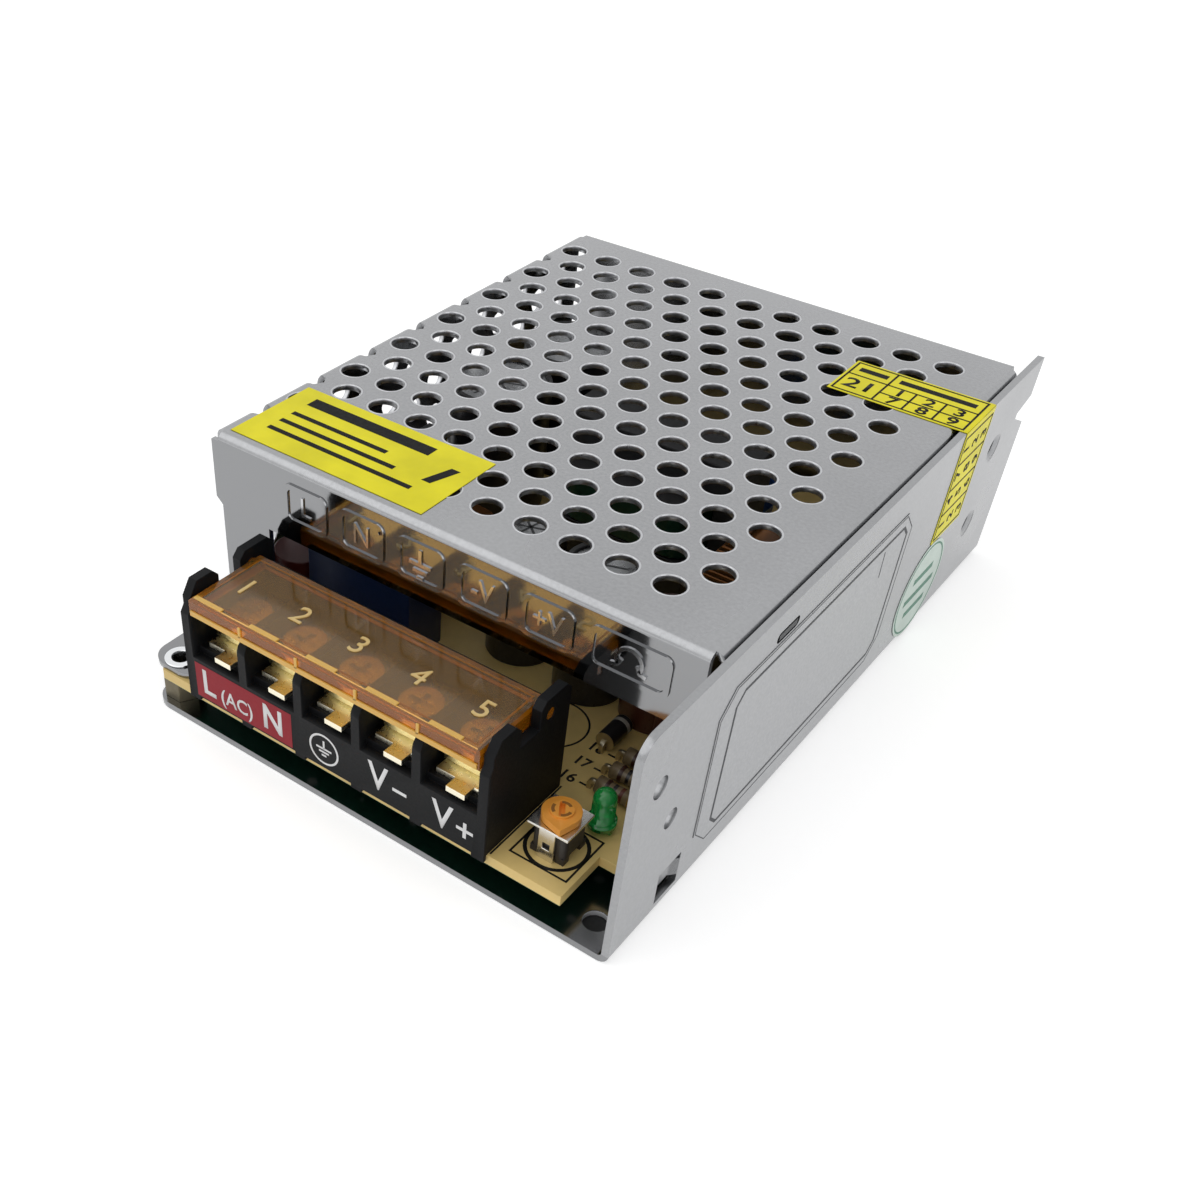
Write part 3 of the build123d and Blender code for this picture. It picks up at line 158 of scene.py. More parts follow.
def sheet_metal(name, colour, smooth, dull, speck_mm, polished=None):
    """Cold-rolled sheet: fine rolling grain, and faint clouds that dull the shine.

    polished is an axis, a limit in millimetres and a roughness; below the limit the sheet is that smooth, and
    its colour is darkened to 0.7 as painted shade."""
    material, tree, shader = finish(name)
    grained = grain(tree, shader, speck_mm, 0.003, 0.35)
    place = add(tree, "ShaderNodeTexCoord").outputs["Object"]
    clouds = add(tree, "ShaderNodeTexNoise", {"Vector": place, "Scale": 1000 / 22.0, "Detail": 4.0})
    both = add(tree, "ShaderNodeMath", {0: grained, 1: clouds}, operation="ADD")
    half = add(tree, "ShaderNodeMath", {0: both, 1: 0.5}, operation="MULTIPLY")
    tone = blend_colours(tree, vary(tree, half, 0.0, 1.0).outputs[0], shade(colour, 0.8), colour)
    shine = vary(tree, clouds, smooth, dull).outputs[0]
    if polished:
        axis, limit, bright = polished
        along = add(tree, "ShaderNodeSeparateXYZ", {0: place}).outputs[axis]
        low = add(tree, "ShaderNodeMath", {0: along, 1: limit * MM}, operation="LESS_THAN")
        shine = add(tree, "ShaderNodeMix", {"Factor": low, "A": shine, "B": bright}).outputs["Result"]
        # Painted shade: below the limit the sheet gets a darker copy of its colour, standing for the darker
        # things it mirrors
        tone = blend_colours(tree, low, tone, shade(colour, 0.7))
    tree.links.new(tone, shader.inputs["Base Color"])
    tree.links.new(shine, shader.inputs["Roughness"])
    shader.inputs["Metallic"].default_value = 1.0
    return material


def plain_metal(name, colour, roughness, grain_mm=0.6, metallic=1.0):
    """Plated metal: a fine uneven shine over one colour."""
    material, tree, shader = finish(name)
    noise = grain(tree, shader, grain_mm, 0.003, 0.4)
    tree.links.new(vary(tree, noise, roughness * 0.8, roughness * 1.2).outputs[0], shader.inputs["Roughness"])
    shader.inputs["Base Color"].default_value = linear(colour)
    shader.inputs["Metallic"].default_value = metallic
    return material


def moulded(name, colour, roughness, grain_mm=0.35, depth_mm=0.006, gloss=0.5):
    """Moulded plastic, paper or a dipped coat: a fine eggshell surface and slight cloudiness."""
    material, tree, shader = finish(name)
    noise = grain(tree, shader, grain_mm, depth_mm)
    place = add(tree, "ShaderNodeTexCoord").outputs["Object"]
    clouds = add(tree, "ShaderNodeTexNoise", {"Vector": place, "Scale": 1000 / 6.0, "Detail": 3.0})
    tone = blend_colours(tree, vary(tree, clouds, 0.0, 1.0).outputs[0], shade(colour, 0.82), colour)
    tree.links.new(tone, shader.inputs["Base Color"])
    tree.links.new(vary(tree, noise, roughness * 0.9, roughness * 1.1).outputs[0], shader.inputs["Roughness"])
    shader.inputs["Specular IOR Level"].default_value = gloss
    return material


def clear_plastic(name, colour, roughness, clearness, index=1.5):
    """Tinted clear plastic: glossy, and milky where clearness is below 1."""
    material, tree, shader = finish(name)
    noise = grain(tree, shader, 6.0, 0.004, 0.06)
    tree.links.new(vary(tree, noise, roughness * 0.7, roughness * 1.3).outputs[0], shader.inputs["Roughness"])
    shader.inputs["Base Color"].default_value = linear(colour)
    shader.inputs["Transmission Weight"].default_value = clearness
    shader.inputs["IOR"].default_value = index
    return material


def laminate(name, colour):
    """Paper laminate board: tan top and edge, dark green mask and solder below."""
    material, tree, shader = finish(name)
    noise = grain(tree, shader, 0.8, 0.006)
    place = add(tree, "ShaderNodeTexCoord").outputs["Object"]
    height = add(tree, "ShaderNodeSeparateXYZ", {0: place}).outputs["Z"]
    clouds = add(tree, "ShaderNodeTexNoise", {"Vector": place, "Scale": 1000 / 9.0, "Detail": 4.0})
    tan = blend_colours(tree, vary(tree, clouds, 0.0, 1.0).outputs[0], shade(colour, 0.72), colour)
    dots = add(tree, "ShaderNodeTexVoronoi", {"Vector": place, "Scale": 1000 / 3.4})
    solder = add(tree, "ShaderNodeMath", {0: dots.outputs["Distance"], 1: 0.22}, operation="LESS_THAN")
    below = blend_colours(tree, solder, "#1f5f48", "#a3a8a0")
    under = add(tree, "ShaderNodeMath", {0: height, 1: 4.5 * MM}, operation="LESS_THAN")
    both = add(tree, "ShaderNodeMix", {"Factor": under, "A": tan, "B": below}, data_type="RGBA")
    tree.links.new(both.outputs["Result"], shader.inputs["Base Color"])
    tree.links.new(vary(tree, noise, 0.38, 0.5).outputs[0], shader.inputs["Roughness"])
    return material


def banded(name, ground, bands, start_mm, length_mm, axis="X", width=0.075):
    """A coat with painted bands along an axis, and bare metal leads past its two ends."""
    material, tree, shader = finish(name)
    grain(tree, shader, 0.5, 0.01)
    place = add(tree, "ShaderNodeTexCoord").outputs["Object"]
    along = add(tree, "ShaderNodeSeparateXYZ", {0: place}).outputs[axis]
    reach = {"Value": along, "From Min": start_mm * MM, "From Max": (start_mm + length_mm) * MM}
    share = add(tree, "ShaderNodeMapRange", reach)
    ramp = add(tree, "ShaderNodeValToRGB", {"Fac": share})
    ramp.color_ramp.interpolation = "CONSTANT"
    lead = linear("#b3a991")
    ramp.color_ramp.elements[0].color = lead
    ramp.color_ramp.elements[1].position = 0.985
    ramp.color_ramp.elements[1].color = lead
    stops = [(0.015, ground)]
    for at, colour in bands:
        stops += [(at, colour), (at + width, ground)]
    for at, colour in stops:
        ramp.color_ramp.elements.new(at).color = linear(colour)
    tree.links.new(ramp.outputs[0], shader.inputs["Base Color"])
    aside = add(tree, "ShaderNodeMath", {0: share, 1: 0.5}, operation="SUBTRACT")
    far = add(tree, "ShaderNodeMath", {0: aside}, operation="ABSOLUTE")
    bare = add(tree, "ShaderNodeMath", {0: far, 1: 0.485}, operation="GREATER_THAN")
    tree.links.new(bare.outputs[0], shader.inputs["Metallic"])
    shader.inputs["Roughness"].default_value = 0.35
    return material


def wound(name, colour, pitch_mm, axis):
    """Enamelled wire laid turn by turn: bands of that pitch across an axis, with painted shade darkening the
    grooves between turns.
    """
    material, tree, shader = finish(name)
    place = add(tree, "ShaderNodeTexCoord").outputs["Object"]
    scale = 1000 / pitch_mm / WAVE_BANDS
    wave = add(tree, "ShaderNodeTexWave", {"Vector": place, "Scale": scale}, bands_direction=axis)
    bump = add(tree, "ShaderNodeBump", {"Height": wave, "Distance": 0.3 * MM})
    tree.links.new(bump.outputs[0], shader.inputs["Normal"])
    # Painted shade: the colour falls to 0.3 of its light in the grooves between turns
    tone = blend_colours(tree, wave.outputs[1], shade(colour, 0.3), colour)
    tree.links.new(tone, shader.inputs["Base Color"])
    shader.inputs["Roughness"].default_value = 0.3
    shader.inputs["Metallic"].default_value = 0.6
    return material


def paper(name, colour, roughness=0.45):
    """Coated label stock or a printed layer: even colour with a slight tooth."""
    return moulded(name, colour, roughness, 0.5, 0.002, 0.15)


def rounded(node, body, material, width_mm=0.12, segments=2, merged=True):
    """The CAD piece again with its corners eased, so that its edges catch the light.

    merged joins the flat facets first; a face with a narrow slot in it keeps its facets."""
    work = bmesh.new()
    work.from_mesh(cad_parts[node].data)
    bmesh.ops.remove_doubles(work, verts=work.verts, dist=2e-6)
    if merged:
        bmesh.ops.dissolve_limit(work, angle_limit=math.radians(0.5), verts=work.verts, edges=work.edges)
    for face in work.faces:
        face.smooth = True
    mesh = bpy.data.meshes.new(node + "_eased")
    work.to_mesh(mesh)
    work.free()
    piece = bpy.data.objects.new(node + "_dressed", mesh)
    bpy.context.scene.collection.objects.link(piece)
    if width_mm:
        edge = piece.modifiers.new("edge", "BEVEL")
        edge.width = width_mm * MM
        edge.segments = segments
        edge.limit_method = "ANGLE"
        edge.angle_limit = math.radians(40)
        edge.use_clamp_overlap = True
    normals = piece.modifiers.new("normals", "WEIGHTED_NORMAL")
    normals.keep_sharp = True
    baked(piece)
    mesh = piece.data
    mesh.materials.clear()
    mesh.materials.append(material)
    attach(piece, body)
    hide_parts(node)
    return piece


def baked(piece):
    """Turns the piece's modifiers into plain mesh."""
    graph = bpy.context.evaluated_depsgraph_get()
    mesh = bpy.data.meshes.new_from_object(piece.evaluated_get(graph))
    piece.modifiers.clear()
    piece.data = mesh
    return piece


def drawn_in(piece, axis, side, depth_mm):
    """Sinks the outermost face on that side, so that print laid on it stays within the CAD box."""
    ends = [vertex.co[axis] for vertex in piece.data.vertices]
    end = max(ends) if side > 0 else min(ends)
    for vertex in piece.data.vertices:
        if abs(vertex.co[axis] - end) < 0.02 * MM:
            vertex.co[axis] -= side * depth_mm * MM


def refaced(piece, material, chosen):
    """Gives a second finish to the faces whose centre, in millimetres, is chosen."""
    piece.data.materials.append(material)
    for face in piece.data.polygons:
        if chosen(face.center / MM, face.normal):
            face.material_index = len(piece.data.materials) - 1


def strip(work, points, width, closed=False):
    """A flat band of that width along the points."""
    count = len(points)
    sides = []
    for i, point in enumerate(points):
        before = points[i - 1] if i or closed else point
        after = points[(i + 1) % count] if i < count - 1 or closed else point
        into = Vector(point) - Vector(before)
        out = Vector(after) - Vector(point)
        into = into.normalized() if into.length else out.normalized()
        out = out.normalized() if out.length else into
        across = (into + out).normalized()
        half = width / 2 / max(0.3, across.dot(out))
        normal = Vector((-across.y, across.x)) * half
        sides.append([work.verts.new((*(Vector(point) + way * normal), 0)) for way in (1, -1)])
    for i in range(count if closed else count - 1):
        a, b = sides[i], sides[(i + 1) % count]
        work.faces.new((a[0], a[1], b[1], b[0]))


def arc(x, y, radius, start=0.0, end=360.0, steps=40):
    """Points on a circle or a part of one; a whole circle doesn't repeat its first point."""
    turns = [math.radians(start + (end - start) * i / steps) for i in range(steps + 1)]
    points = [(x + radius * math.cos(t), y + radius * math.sin(t)) for t in turns]
    return points[:-1] if end - start == 360 else points


def field(work, points):
    """A flat filled outline."""
    work.faces.new([work.verts.new((x, y, 0)) for x, y in points])


def box_points(x0, y0, x1, y1, cut=0.0):
    """A rectangle's corners, cut off by that much."""
    if not cut:
        return [(x0, y0), (x1, y0), (x1, y1), (x0, y1)]
    return [
        (x0 + cut, y0), (x1 - cut, y0), (x1, y0 + cut), (x1, y1 - cut),
        (x1 - cut, y1), (x0 + cut, y1), (x0, y1 - cut), (x0, y0 + cut),
    ]


def letter(work, text, x, y, size, turn=0.0, spread=1.0, bold=0.0):
    """Plain characters centred on a place."""
    curve = bpy.data.curves.new("mark", "FONT")
    curve.body = text
    curve.size = size
    curve.align_x = "CENTER"
    curve.align_y = "CENTER"
    curve.resolution_u = 3
    curve.offset = bold
    shape = bpy.data.objects.new("mark", curve)
    bpy.context.scene.collection.objects.link(shape)
    graph = bpy.context.evaluated_depsgraph_get()
    mesh = bpy.data.meshes.new_from_object(shape.evaluated_get(graph))
    turned = Matrix.Rotation(math.radians(turn), 4, "Z") @ Matrix.Diagonal((spread, 1, 1, 1))
    mesh.transform(Matrix.Translation((x, y, 0)) @ turned)
    work.from_mesh(mesh)
    bpy.data.objects.remove(shape)
    bpy.data.curves.remove(curve)
    bpy.data.meshes.remove(mesh)


def plus(work, x, y, reach, half):
    """A plus sign with arms of that reach."""
    quarter = [(reach, -half), (reach, half), (half, half)]
    turns = ((1, 0), (0, 1), (-1, 0), (0, -1))
    field(work, [(x + a * c - b * s, y + a * s + b * c) for c, s in turns for a, b in quarter])


def earth_mark(work, x, y, size):
    """Earth sign in a ring."""
    strip(work, arc(x, y, size), size * 0.13, closed=True)
    strip(work, [(x, y + size * 0.62), (x, y + size * 0.05)], size * 0.13)
    for step, half in enumerate((0.55, 0.36, 0.17)):
        level = y + size * (0.05 - 0.24 * step)
        strip(work, [(x - half * size, level), (x + half * size, level)], size * 0.13)


def laid(name, work, place, material, body, thick_mm=0.02):
    """Sets flat shapes, drawn in millimetres, on a face as a thin raised layer."""
    bmesh.ops.recalc_face_normals(work, faces=work.faces)
    for face in work.faces:
        face.normal_update()
        if face.normal.z < 0:
            face.normal_flip()
    raised = bmesh.ops.extrude_face_region(work, geom=work.faces[:])
    tops = [v for v in raised["geom"] if isinstance(v, bmesh.types.BMVert)]
    bmesh.ops.translate(work, verts=tops, vec=(0, 0, thick_mm))
    bmesh.ops.recalc_face_normals(work, faces=work.faces)
    mesh = bpy.data.meshes.new(name)
    work.to_mesh(mesh)
    work.free()
    mesh.transform(Matrix.Scale(MM, 4))
    mesh.transform(place)
    mesh.materials.append(material)
    piece = bpy.data.objects.new(name, mesh)
    bpy.context.scene.collection.objects.link(piece)
    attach(piece, body)
    return piece


def on_top(height_mm):
    """Drawing plane facing up: its x is X, its y is Y."""
    return Matrix.Translation((0, 0, height_mm * MM))


def on_front(depth_mm):
    """Drawing plane facing the front: its x is X, its y is Z."""
    return Matrix.Translation((0, depth_mm * MM, 0)) @ Matrix.Rotation(math.radians(90), 4, "X")


def on_wall(x_mm):
    """Drawing plane facing right: its x is Y, its y is Z."""
    turn = Matrix(((0, 0, 1, 0), (1, 0, 0, 0), (0, 1, 0, 0), (0, 0, 0, 1)))
    return Matrix.Translation((x_mm * MM, 0, 0)) @ turn


# Settings


def tint(name, description, code):
    """A colour setting that starts at an sRGB hex colour."""
    return bpy.props.FloatVectorProperty(
        name=name, description=description, subtype="COLOR", size=3, min=0.0, max=1.0, default=linear(code)[:3]
    )


def length(name, description, size_mm):
    """A length setting that starts at that many millimetres."""
    return bpy.props.FloatProperty(name=name, description=description, default=size_mm * MM, unit="LENGTH")


class CaseSettings(bpy.types.PropertyGroup):
    """Sheet metal of the case."""

    cover_colour: tint("Cover", "Colour of the perforated cover", "#a8a9ab")
    base_colour: tint("Base", "Colour of the floor and the solid wall", "#a4a5a7")
    hole_diameter: length("Hole diameter", "Clear width of a punched hole", 3.96)
    rim_width: length("Rim width", "Width of the bright rolled edge of a hole", 0.32)
    sheet: length("Sheet", "Thickness of the cover sheet", 0.8)


class BlockSettings(bpy.types.PropertyGroup):
    """Terminal block and its lid."""

    block_colour: tint("Block", "Colour of the terminal block", "#111214")
    mains_colour: tint("Mains field", "Colour of the printed field under the mains ways", "#9a2530")
    lid_colour: tint("Lid", "Colour of the clear lid", "#f0bd5f")
    # Painted light: the lid's front faces take this colour as a painted glow, and its side and rear walls a
    # darker copy as painted shade
    skirt_colour: tint("Lid skirt", "Colour of the lid where it is seen edge on", "#ee9412")
    figure_size: length("Figure size", "Height of the raised figures", 4.6)


class BoardSettings(bpy.types.PropertyGroup):
    """Circuit board and what stands on it."""

    board_colour: tint("Board", "Colour of the laminate", "#efd085")
    lamp_colour: tint("Lamp", "Colour of the lamp", "#2fb85a")
    rotor_colour: tint("Rotor", "Colour of the trimmer's rotor", "#ffab40")


class LabelSettings(bpy.types.PropertyGroup):
    """Stuck-on labels."""

    sticker_colour: tint("Stickers", "Colour of the two yellow stickers", "#f4e925")
    film_colour: tint("Side label", "Colour of the silver film", "#a7a8aa")
    round_colour: tint("Round label", "Colour of the round sticker", "#d3e2d9")


class StageSettings(bpy.types.PropertyGroup):
    """Floor, lights and camera."""

    floor_colour: tint("Floor", "Colour of the floor", "#f4f4f4")
    fill: bpy.props.FloatProperty(name="Fill", description="Light from all round", default=0.62, min=0.0)
    key: bpy.props.FloatProperty(
        name="Key", description="Power of the main lamp", default=1.6, min=0.0, unit="POWER"
    )
    lens: bpy.props.FloatProperty(
        name="Lens", description="Focal length", default=40.12, unit="CAMERA", subtype="DISTANCE_CAMERA"
    )


# Perforation rims, made with a node tree


def rim_tree():
    """Node tree that sets one rolled rim on every point of the mesh it is given."""
    tree = bpy.data.node_groups.new("hole_rims", "GeometryNodeTree")
    tree.is_modifier = True
    face = tree.interface
    face.new_socket("Geometry", in_out="INPUT", socket_type="NodeSocketGeometry")
    for label, kind, default in (
        ("Hole diameter", "NodeSocketFloat", 0.00396),
        ("Rim width", "NodeSocketFloat", 0.00032),
        ("Rim height", "NodeSocketFloat", 0.0009),
        ("Turn", "NodeSocketVector", (0.0, 0.0, 0.0)),
        ("Material", "NodeSocketMaterial", None),
    ):
        socket = face.new_socket(label, in_out="INPUT", socket_type=kind)
        if default is not None:
            socket.default_value = default
    face.new_socket("Geometry", in_out="OUTPUT", socket_type="NodeSocketGeometry")
    given = add(tree, "NodeGroupInput")
    across = add(
        tree,
        "ShaderNodeMath",
        {0: given.outputs["Hole diameter"], 1: given.outputs["Rim width"]},
        operation="ADD",
    )
    radius = add(tree, "ShaderNodeMath", {0: across, 1: 0.5}, operation="MULTIPLY")
    path = add(tree, "GeometryNodeCurvePrimitiveCircle", {"Resolution": 30, "Radius": radius})
    section = add(
        tree,
        "GeometryNodeCurvePrimitiveQuadrilateral",
        {"Width": given.outputs["Rim width"], "Height": given.outputs["Rim height"]},
    )
    roll = add(tree, "ShaderNodeMath", {0: given.outputs["Rim width"], 1: 0.4}, operation="MULTIPLY")
    eased = add(tree, "GeometryNodeFilletCurve", {"Curve": section, "Count": 2, "Radius": roll}, mode="POLY")
    ring = add(tree, "GeometryNodeCurveToMesh", {"Curve": path, "Profile Curve": eased})
    smooth = add(tree, "GeometryNodeSetShadeSmooth", {0: ring})
    turn = add(tree, "FunctionNodeEulerToRotation", {0: given.outputs["Turn"]})
    spread = add(
        tree,
        "GeometryNodeInstanceOnPoints",
        {"Points": given.outputs["Geometry"], "Instance": smooth, "Rotation": turn},
    )
    real = add(tree, "GeometryNodeRealizeInstances", {0: spread})
    done = add(tree, "GeometryNodeSetMaterial", {"Geometry": real, "Material": given.outputs["Material"]})
    add(tree, "NodeGroupOutput", {0: done})
    return tree


def grown(name, points, tree, values, body):
    """Runs a node tree on a cloud of points and keeps the result as plain mesh."""
    mesh = bpy.data.meshes.new(name)
    mesh.from_pydata(points, [], [])
    piece = bpy.data.objects.new(name, mesh)
    bpy.context.scene.collection.objects.link(piece)
    modifier = piece.modifiers.new("grow", "NODES")
    modifier.node_group = tree
    for item in tree.interface.items_tree:
        if item.in_out == "INPUT" and item.name in values:
            modifier[item.identifier] = values[item.name]
    baked(piece)
    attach(piece, body)
    return piece


HOLE_ROWS = 14
HOLE_PITCH = 6.5
FIRST_ROW = 7.84
COVER_BACK = 51.1
PLATE_HOLE = (34.6, -51.75, 0.48)


def hole_places(sheet_mm):
    """Middles of the holes in the top and in the left wall, in millimetres."""
    top, wall = [], []
    for row in range(HOLE_ROWS):
        y = COVER_BACK - FIRST_ROW - row * HOLE_PITCH * math.sqrt(3) / 2
        shift = HOLE_PITCH / 2 * (row % 2)
        for i in range(11 - row % 2):
            top.append((-35.5 + shift + HOLE_PITCH * i, y, COVER_TOP - sheet_mm / 2))
        for i in range(4):
            wall.append((-WALL + sheet_mm / 2, y, COVER_TOP - 4.1 - shift - HOLE_PITCH * i))
    return top, wall


class PSU_OT_case(bpy.types.Operator):
    """Satin sheet metal on the base and cover, with bright rims in the punched holes"""

    bl_idname = "psu.case"
    bl_label = "Case"

    def execute(self, context):
        settings = context.scene.psu_case
        # Aluminium sheet, rolled and folded: satin grey top, and an apron bright enough to mirror the lid, with
        # painted shade darkening its colour there
        apron = ("Y", COVER_FRONT + 0.03, 0.08)
        cover = sheet_metal("satin_aluminium_cover", settings.cover_colour, 0.2, 0.3, 0.5, apron)
        # The same sheet, a little duller: satin wall, and a floor that mirrors the underside of the board, with
        # painted shade darkening its colour there
        floor = ("Z", 1.4, 0.17)
        base = sheet_metal("satin_aluminium_base", settings.base_colour, 0.24, 0.36, 0.4, floor)
        # Painted shade: a dull dark finish for the faces in the slot at the top of the solid wall, as deep
        # slots look in shade
        edge = moulded("painted_slot_shade", "#2c2d2f", 0.5)

        def beside_slot(at):
            return abs(at.y - SLOT_MIDDLE) < SLOT_HALF and at.z < SLOT_END

        chassis = rounded("base_chassis", "case", base, 0.14)
        # Painted shade on the slot's walls in the solid wall, and below on the cover's tab that shows in the
        # slot
        refaced(chassis, edge, lambda at, way: beside_slot(at) and 37.9 < at.x < 38.95 and at.z > 29)
        case = rounded("perforated_cover", "case", cover, 0.08, 1)
        refaced(case, edge, lambda at, way: beside_slot(at) and at.x > 38.2)
        # Burnished aluminium: the punch leaves a rolled lip round each hole; its colour, paler than the sheet,
        # is painted highlight on top of the light its rolled shape catches
        rim = plain_metal("burnished_painted_highlight_edge", "#bfc0c3", 0.34)
        # The same lip at the floor hole, paler and partly diffuse as a painted highlight: bright from every
        # side
        pale = plain_metal("painted_highlight_hole_edge", "#e2e3e5", 0.4, 0.6, 0.35)
        tree = rim_tree()
        sheet_mm = settings.sheet / MM
        top, wall = hole_places(sheet_mm)
        for name, places, turn, smaller_mm, proud_mm, metal in (
            ("top_hole_rims", top, (0.0, 0.0, 0.0), 0.0, 0.07, rim),
            ("floor_hole_rim", [PLATE_HOLE], (0.0, 0.0, 0.0), 0.6, 0.14, pale),
            ("wall_hole_rims", wall, (0.0, math.radians(90), 0.0), 0.1, 0.0, rim),
        ):
            values = {
                "Hole diameter": settings.hole_diameter - smaller_mm * MM,
                "Rim width": settings.rim_width,
                "Rim height": settings.sheet + proud_mm * MM,
                "Turn": turn,
                "Material": metal,
            }
            grown(name, [tuple(c * MM for c in p) for p in places], tree, values, "case")
        return {"FINISHED"}


class PSU_OT_stamps(bpy.types.Operator):
    """Raised terminal marks stamped in the cover's apron"""

    bl_idname = "psu.stamps"
    bl_label = "Stamped marks"

    def execute(self, context):
        # Stamped aluminium: the strokes are polished by the die and catch the light
        metal = plain_metal("stamped_aluminium", "#c2c3c5", 0.14)
        work = bmesh.new()
        for text, x in zip(("L", "N", None, "-V", "+V"), WAYS):
            if text:
                letter(work, text, x + 0.8, 28.45, 4.2, 0, 0.9)
            else:
                strip(work, [(x + 0.8, 30.4), (x + 0.8, 28.4)], 0.5)
                for step, half in enumerate((1.7, 1.1, 0.5)):
                    strip(work, [(x + 0.8 - half, 28.3 - step), (x + 0.8 + half, 28.3 - step)], 0.5)
        strip(work, arc(27.0, 28.4, 1.7, -30, 210, 20), 0.5)
        strip(work, [(24.6, 27.2), (25.5, 27.4), (25.9, 28.3)], 0.5)
        strip(work, [(29.4, 27.2), (28.5, 27.4), (28.1, 28.3)], 0.5)
        laid("stamped_marks", work, on_front(COVER_FRONT), metal, "case", 0.2)
        return {"FINISHED"}


class PSU_OT_block(bpy.types.Operator):
    """Black terminal block, its plated contacts, clamps and screws, and its printed marks"""

    bl_idname = "psu.block"
    bl_label = "Terminal block"

    def execute(self, context):
        settings = context.scene.psu_block
        # Glass-filled polyester, moulded: near black with a soft eggshell sheen
        black = moulded("black_polyester", settings.block_colour, 0.5, gloss=0.14)
        block = rounded("terminal_block_body", "case", black, 0.12)
        drawn_in(block, 1, -1, PRINT * 2)
        # Tinned brass strip: pale cream and bright at its edges
        rounded("terminal_contacts", "case", plain_metal("tinned_brass", "#f3edd6", 0.3), 0.06)
        # Yellow-passivated steel: straw coloured, mirror bright on its bends
        rounded("clamp_washers", "case", plain_metal("yellow_zinc_clamp", "#dccf9c", 0.22), 0.08)
        # Zinc-plated steel screws: cooler, with dark recesses
        rounded("terminal_screws", "case", plain_metal("zinc_screw", "#cfc8ae", 0.24), 0.1)
        # Pad-printed ink: flat and slightly matt
        white = paper("white_pad_print", "#f1f1f1", 0.5)
        red = paper("red_pad_print", settings.mains_colour, 0.42)
        work = bmesh.new()
        field(work, box_points(-27.3, 6.0, -10.1, 11.7))
        laid("red_field", work, on_front(FRONT + 2 * PRINT), red, "case", PRINT)
        work = bmesh.new()
        letter(work, "L", -25.0, 8.8, 5.6, 0, 0.9, 0.1)
        letter(work, "(AC)", -19.9, 8.1, 3.3, 0, 0.9, 0.04)
        letter(work, "N", -13.4, 8.8, 5.6, 0, 0.85, 0.14)
        laid("mains_marks", work, on_front(FRONT + PRINT), white, "case", PRINT)
        work = bmesh.new()
        earth_mark(work, -4.6, 8.9, 2.3)
        letter(work, "V", 4.3, 9.2, 6.0, 0, 0.86, 0.06)
        strip(work, [(6.6, 8.9), (8.8, 8.9)], 0.5)
        letter(work, "V", 14.3, 8.9, 6.0, 0, 0.86, 0.06)
        plus(work, 17.7, 8.7, 1.25, 0.25)
        laid("output_marks", work, on_front(FRONT + 2 * PRINT), white, "case", PRINT)
        return {"FINISHED"}


class PSU_OT_lid(bpy.types.Operator):
    """Clear amber lid with raised figures and ridges along its front"""

    bl_idname = "psu.lid"
    bl_label = "Lid"

    def execute(self, context):
        settings = context.scene.psu_block
        # Amber polycarbonate, moulded: clear over the ways and smoky brown where it lies over black
        clear = clear_plastic("amber_polycarbonate", settings.lid_colour, 0.1, 0.93)
        # Painted light: the lid's front faces get a brighter orange copy of the plastic, a painted glow for the
        # light it gathers edge on
        painted_glow = clear_plastic("amber_painted_glow", settings.skirt_colour, 0.06, 0.8)
        # Painted shade: its side and rear walls get a darker copy of the skirt colour, copper orange
        copper = clear_plastic("amber_shaded_wall", shade(settings.skirt_colour, 0.55), 0.1, 0.5)
        lid = rounded("terminal_cover", "lid", clear, 0.15)
        # Painted shade on the side and rear walls
        refaced(lid, copper, lambda at, way: at.z < 21.75 and abs(way.z) < 0.9)
        # Painted glow on the front faces of the skirt
        refaced(lid, painted_glow, lambda at, way: at.y < -54.6 and way.z < 0.9 and abs(way.x) < 0.9)
        # Painted highlight: its ridges and raised figures get pale gold copies of the plastic, standing for the
        # light they catch
        bright = clear_plastic("amber_painted_highlight_ridge", "#ffcf62", 0.1, 0.3)
        pale = clear_plastic("amber_painted_highlight_figure", "#f6d78e", 0.15, 0.25)
        # Raised figures in painted highlight
        work = bmesh.new()
        for index, x in enumerate(WAYS):
            letter(work, str(index + 1), x, -49.5, settings.figure_size / MM, 0, 1.0)
        laid("lid_figures", work, on_top(LID_TOP), pale, "lid", 0.15)
        # Painted shade: a copper line on the top along the inner edge of the walls, standing for the walls seen
        # through it
        work = bmesh.new()
        strip(work, box_points(-26.1, -54.7, 17.9, -43.7), 0.3, closed=True)
        laid("lid_wall_shade_line", work, on_top(LID_TOP), copper, "lid", 0.03)
        # Ridges in painted highlight, on the top and on the front face
        work = bmesh.new()
        for index in range(5):
            start = -26.6 + index * 9.5
            field(work, box_points(start, -55.4, start + 4.7, -54.8))
        laid("lid_top_ridges", work, on_top(LID_TOP), bright, "lid", 0.2)
        work = bmesh.new()
        field(work, box_points(-27.0, 19.3, 18.8, 20.05))
        for x in (-18.3, -8.8, 0.7, 10.2):
            field(work, box_points(x - 0.2, 19.9, x + 0.2, 21.4))
        laid("lid_front_ridges", work, on_front(LID_FRONT), bright, "lid", 0.2)
        return {"FINISHED"}


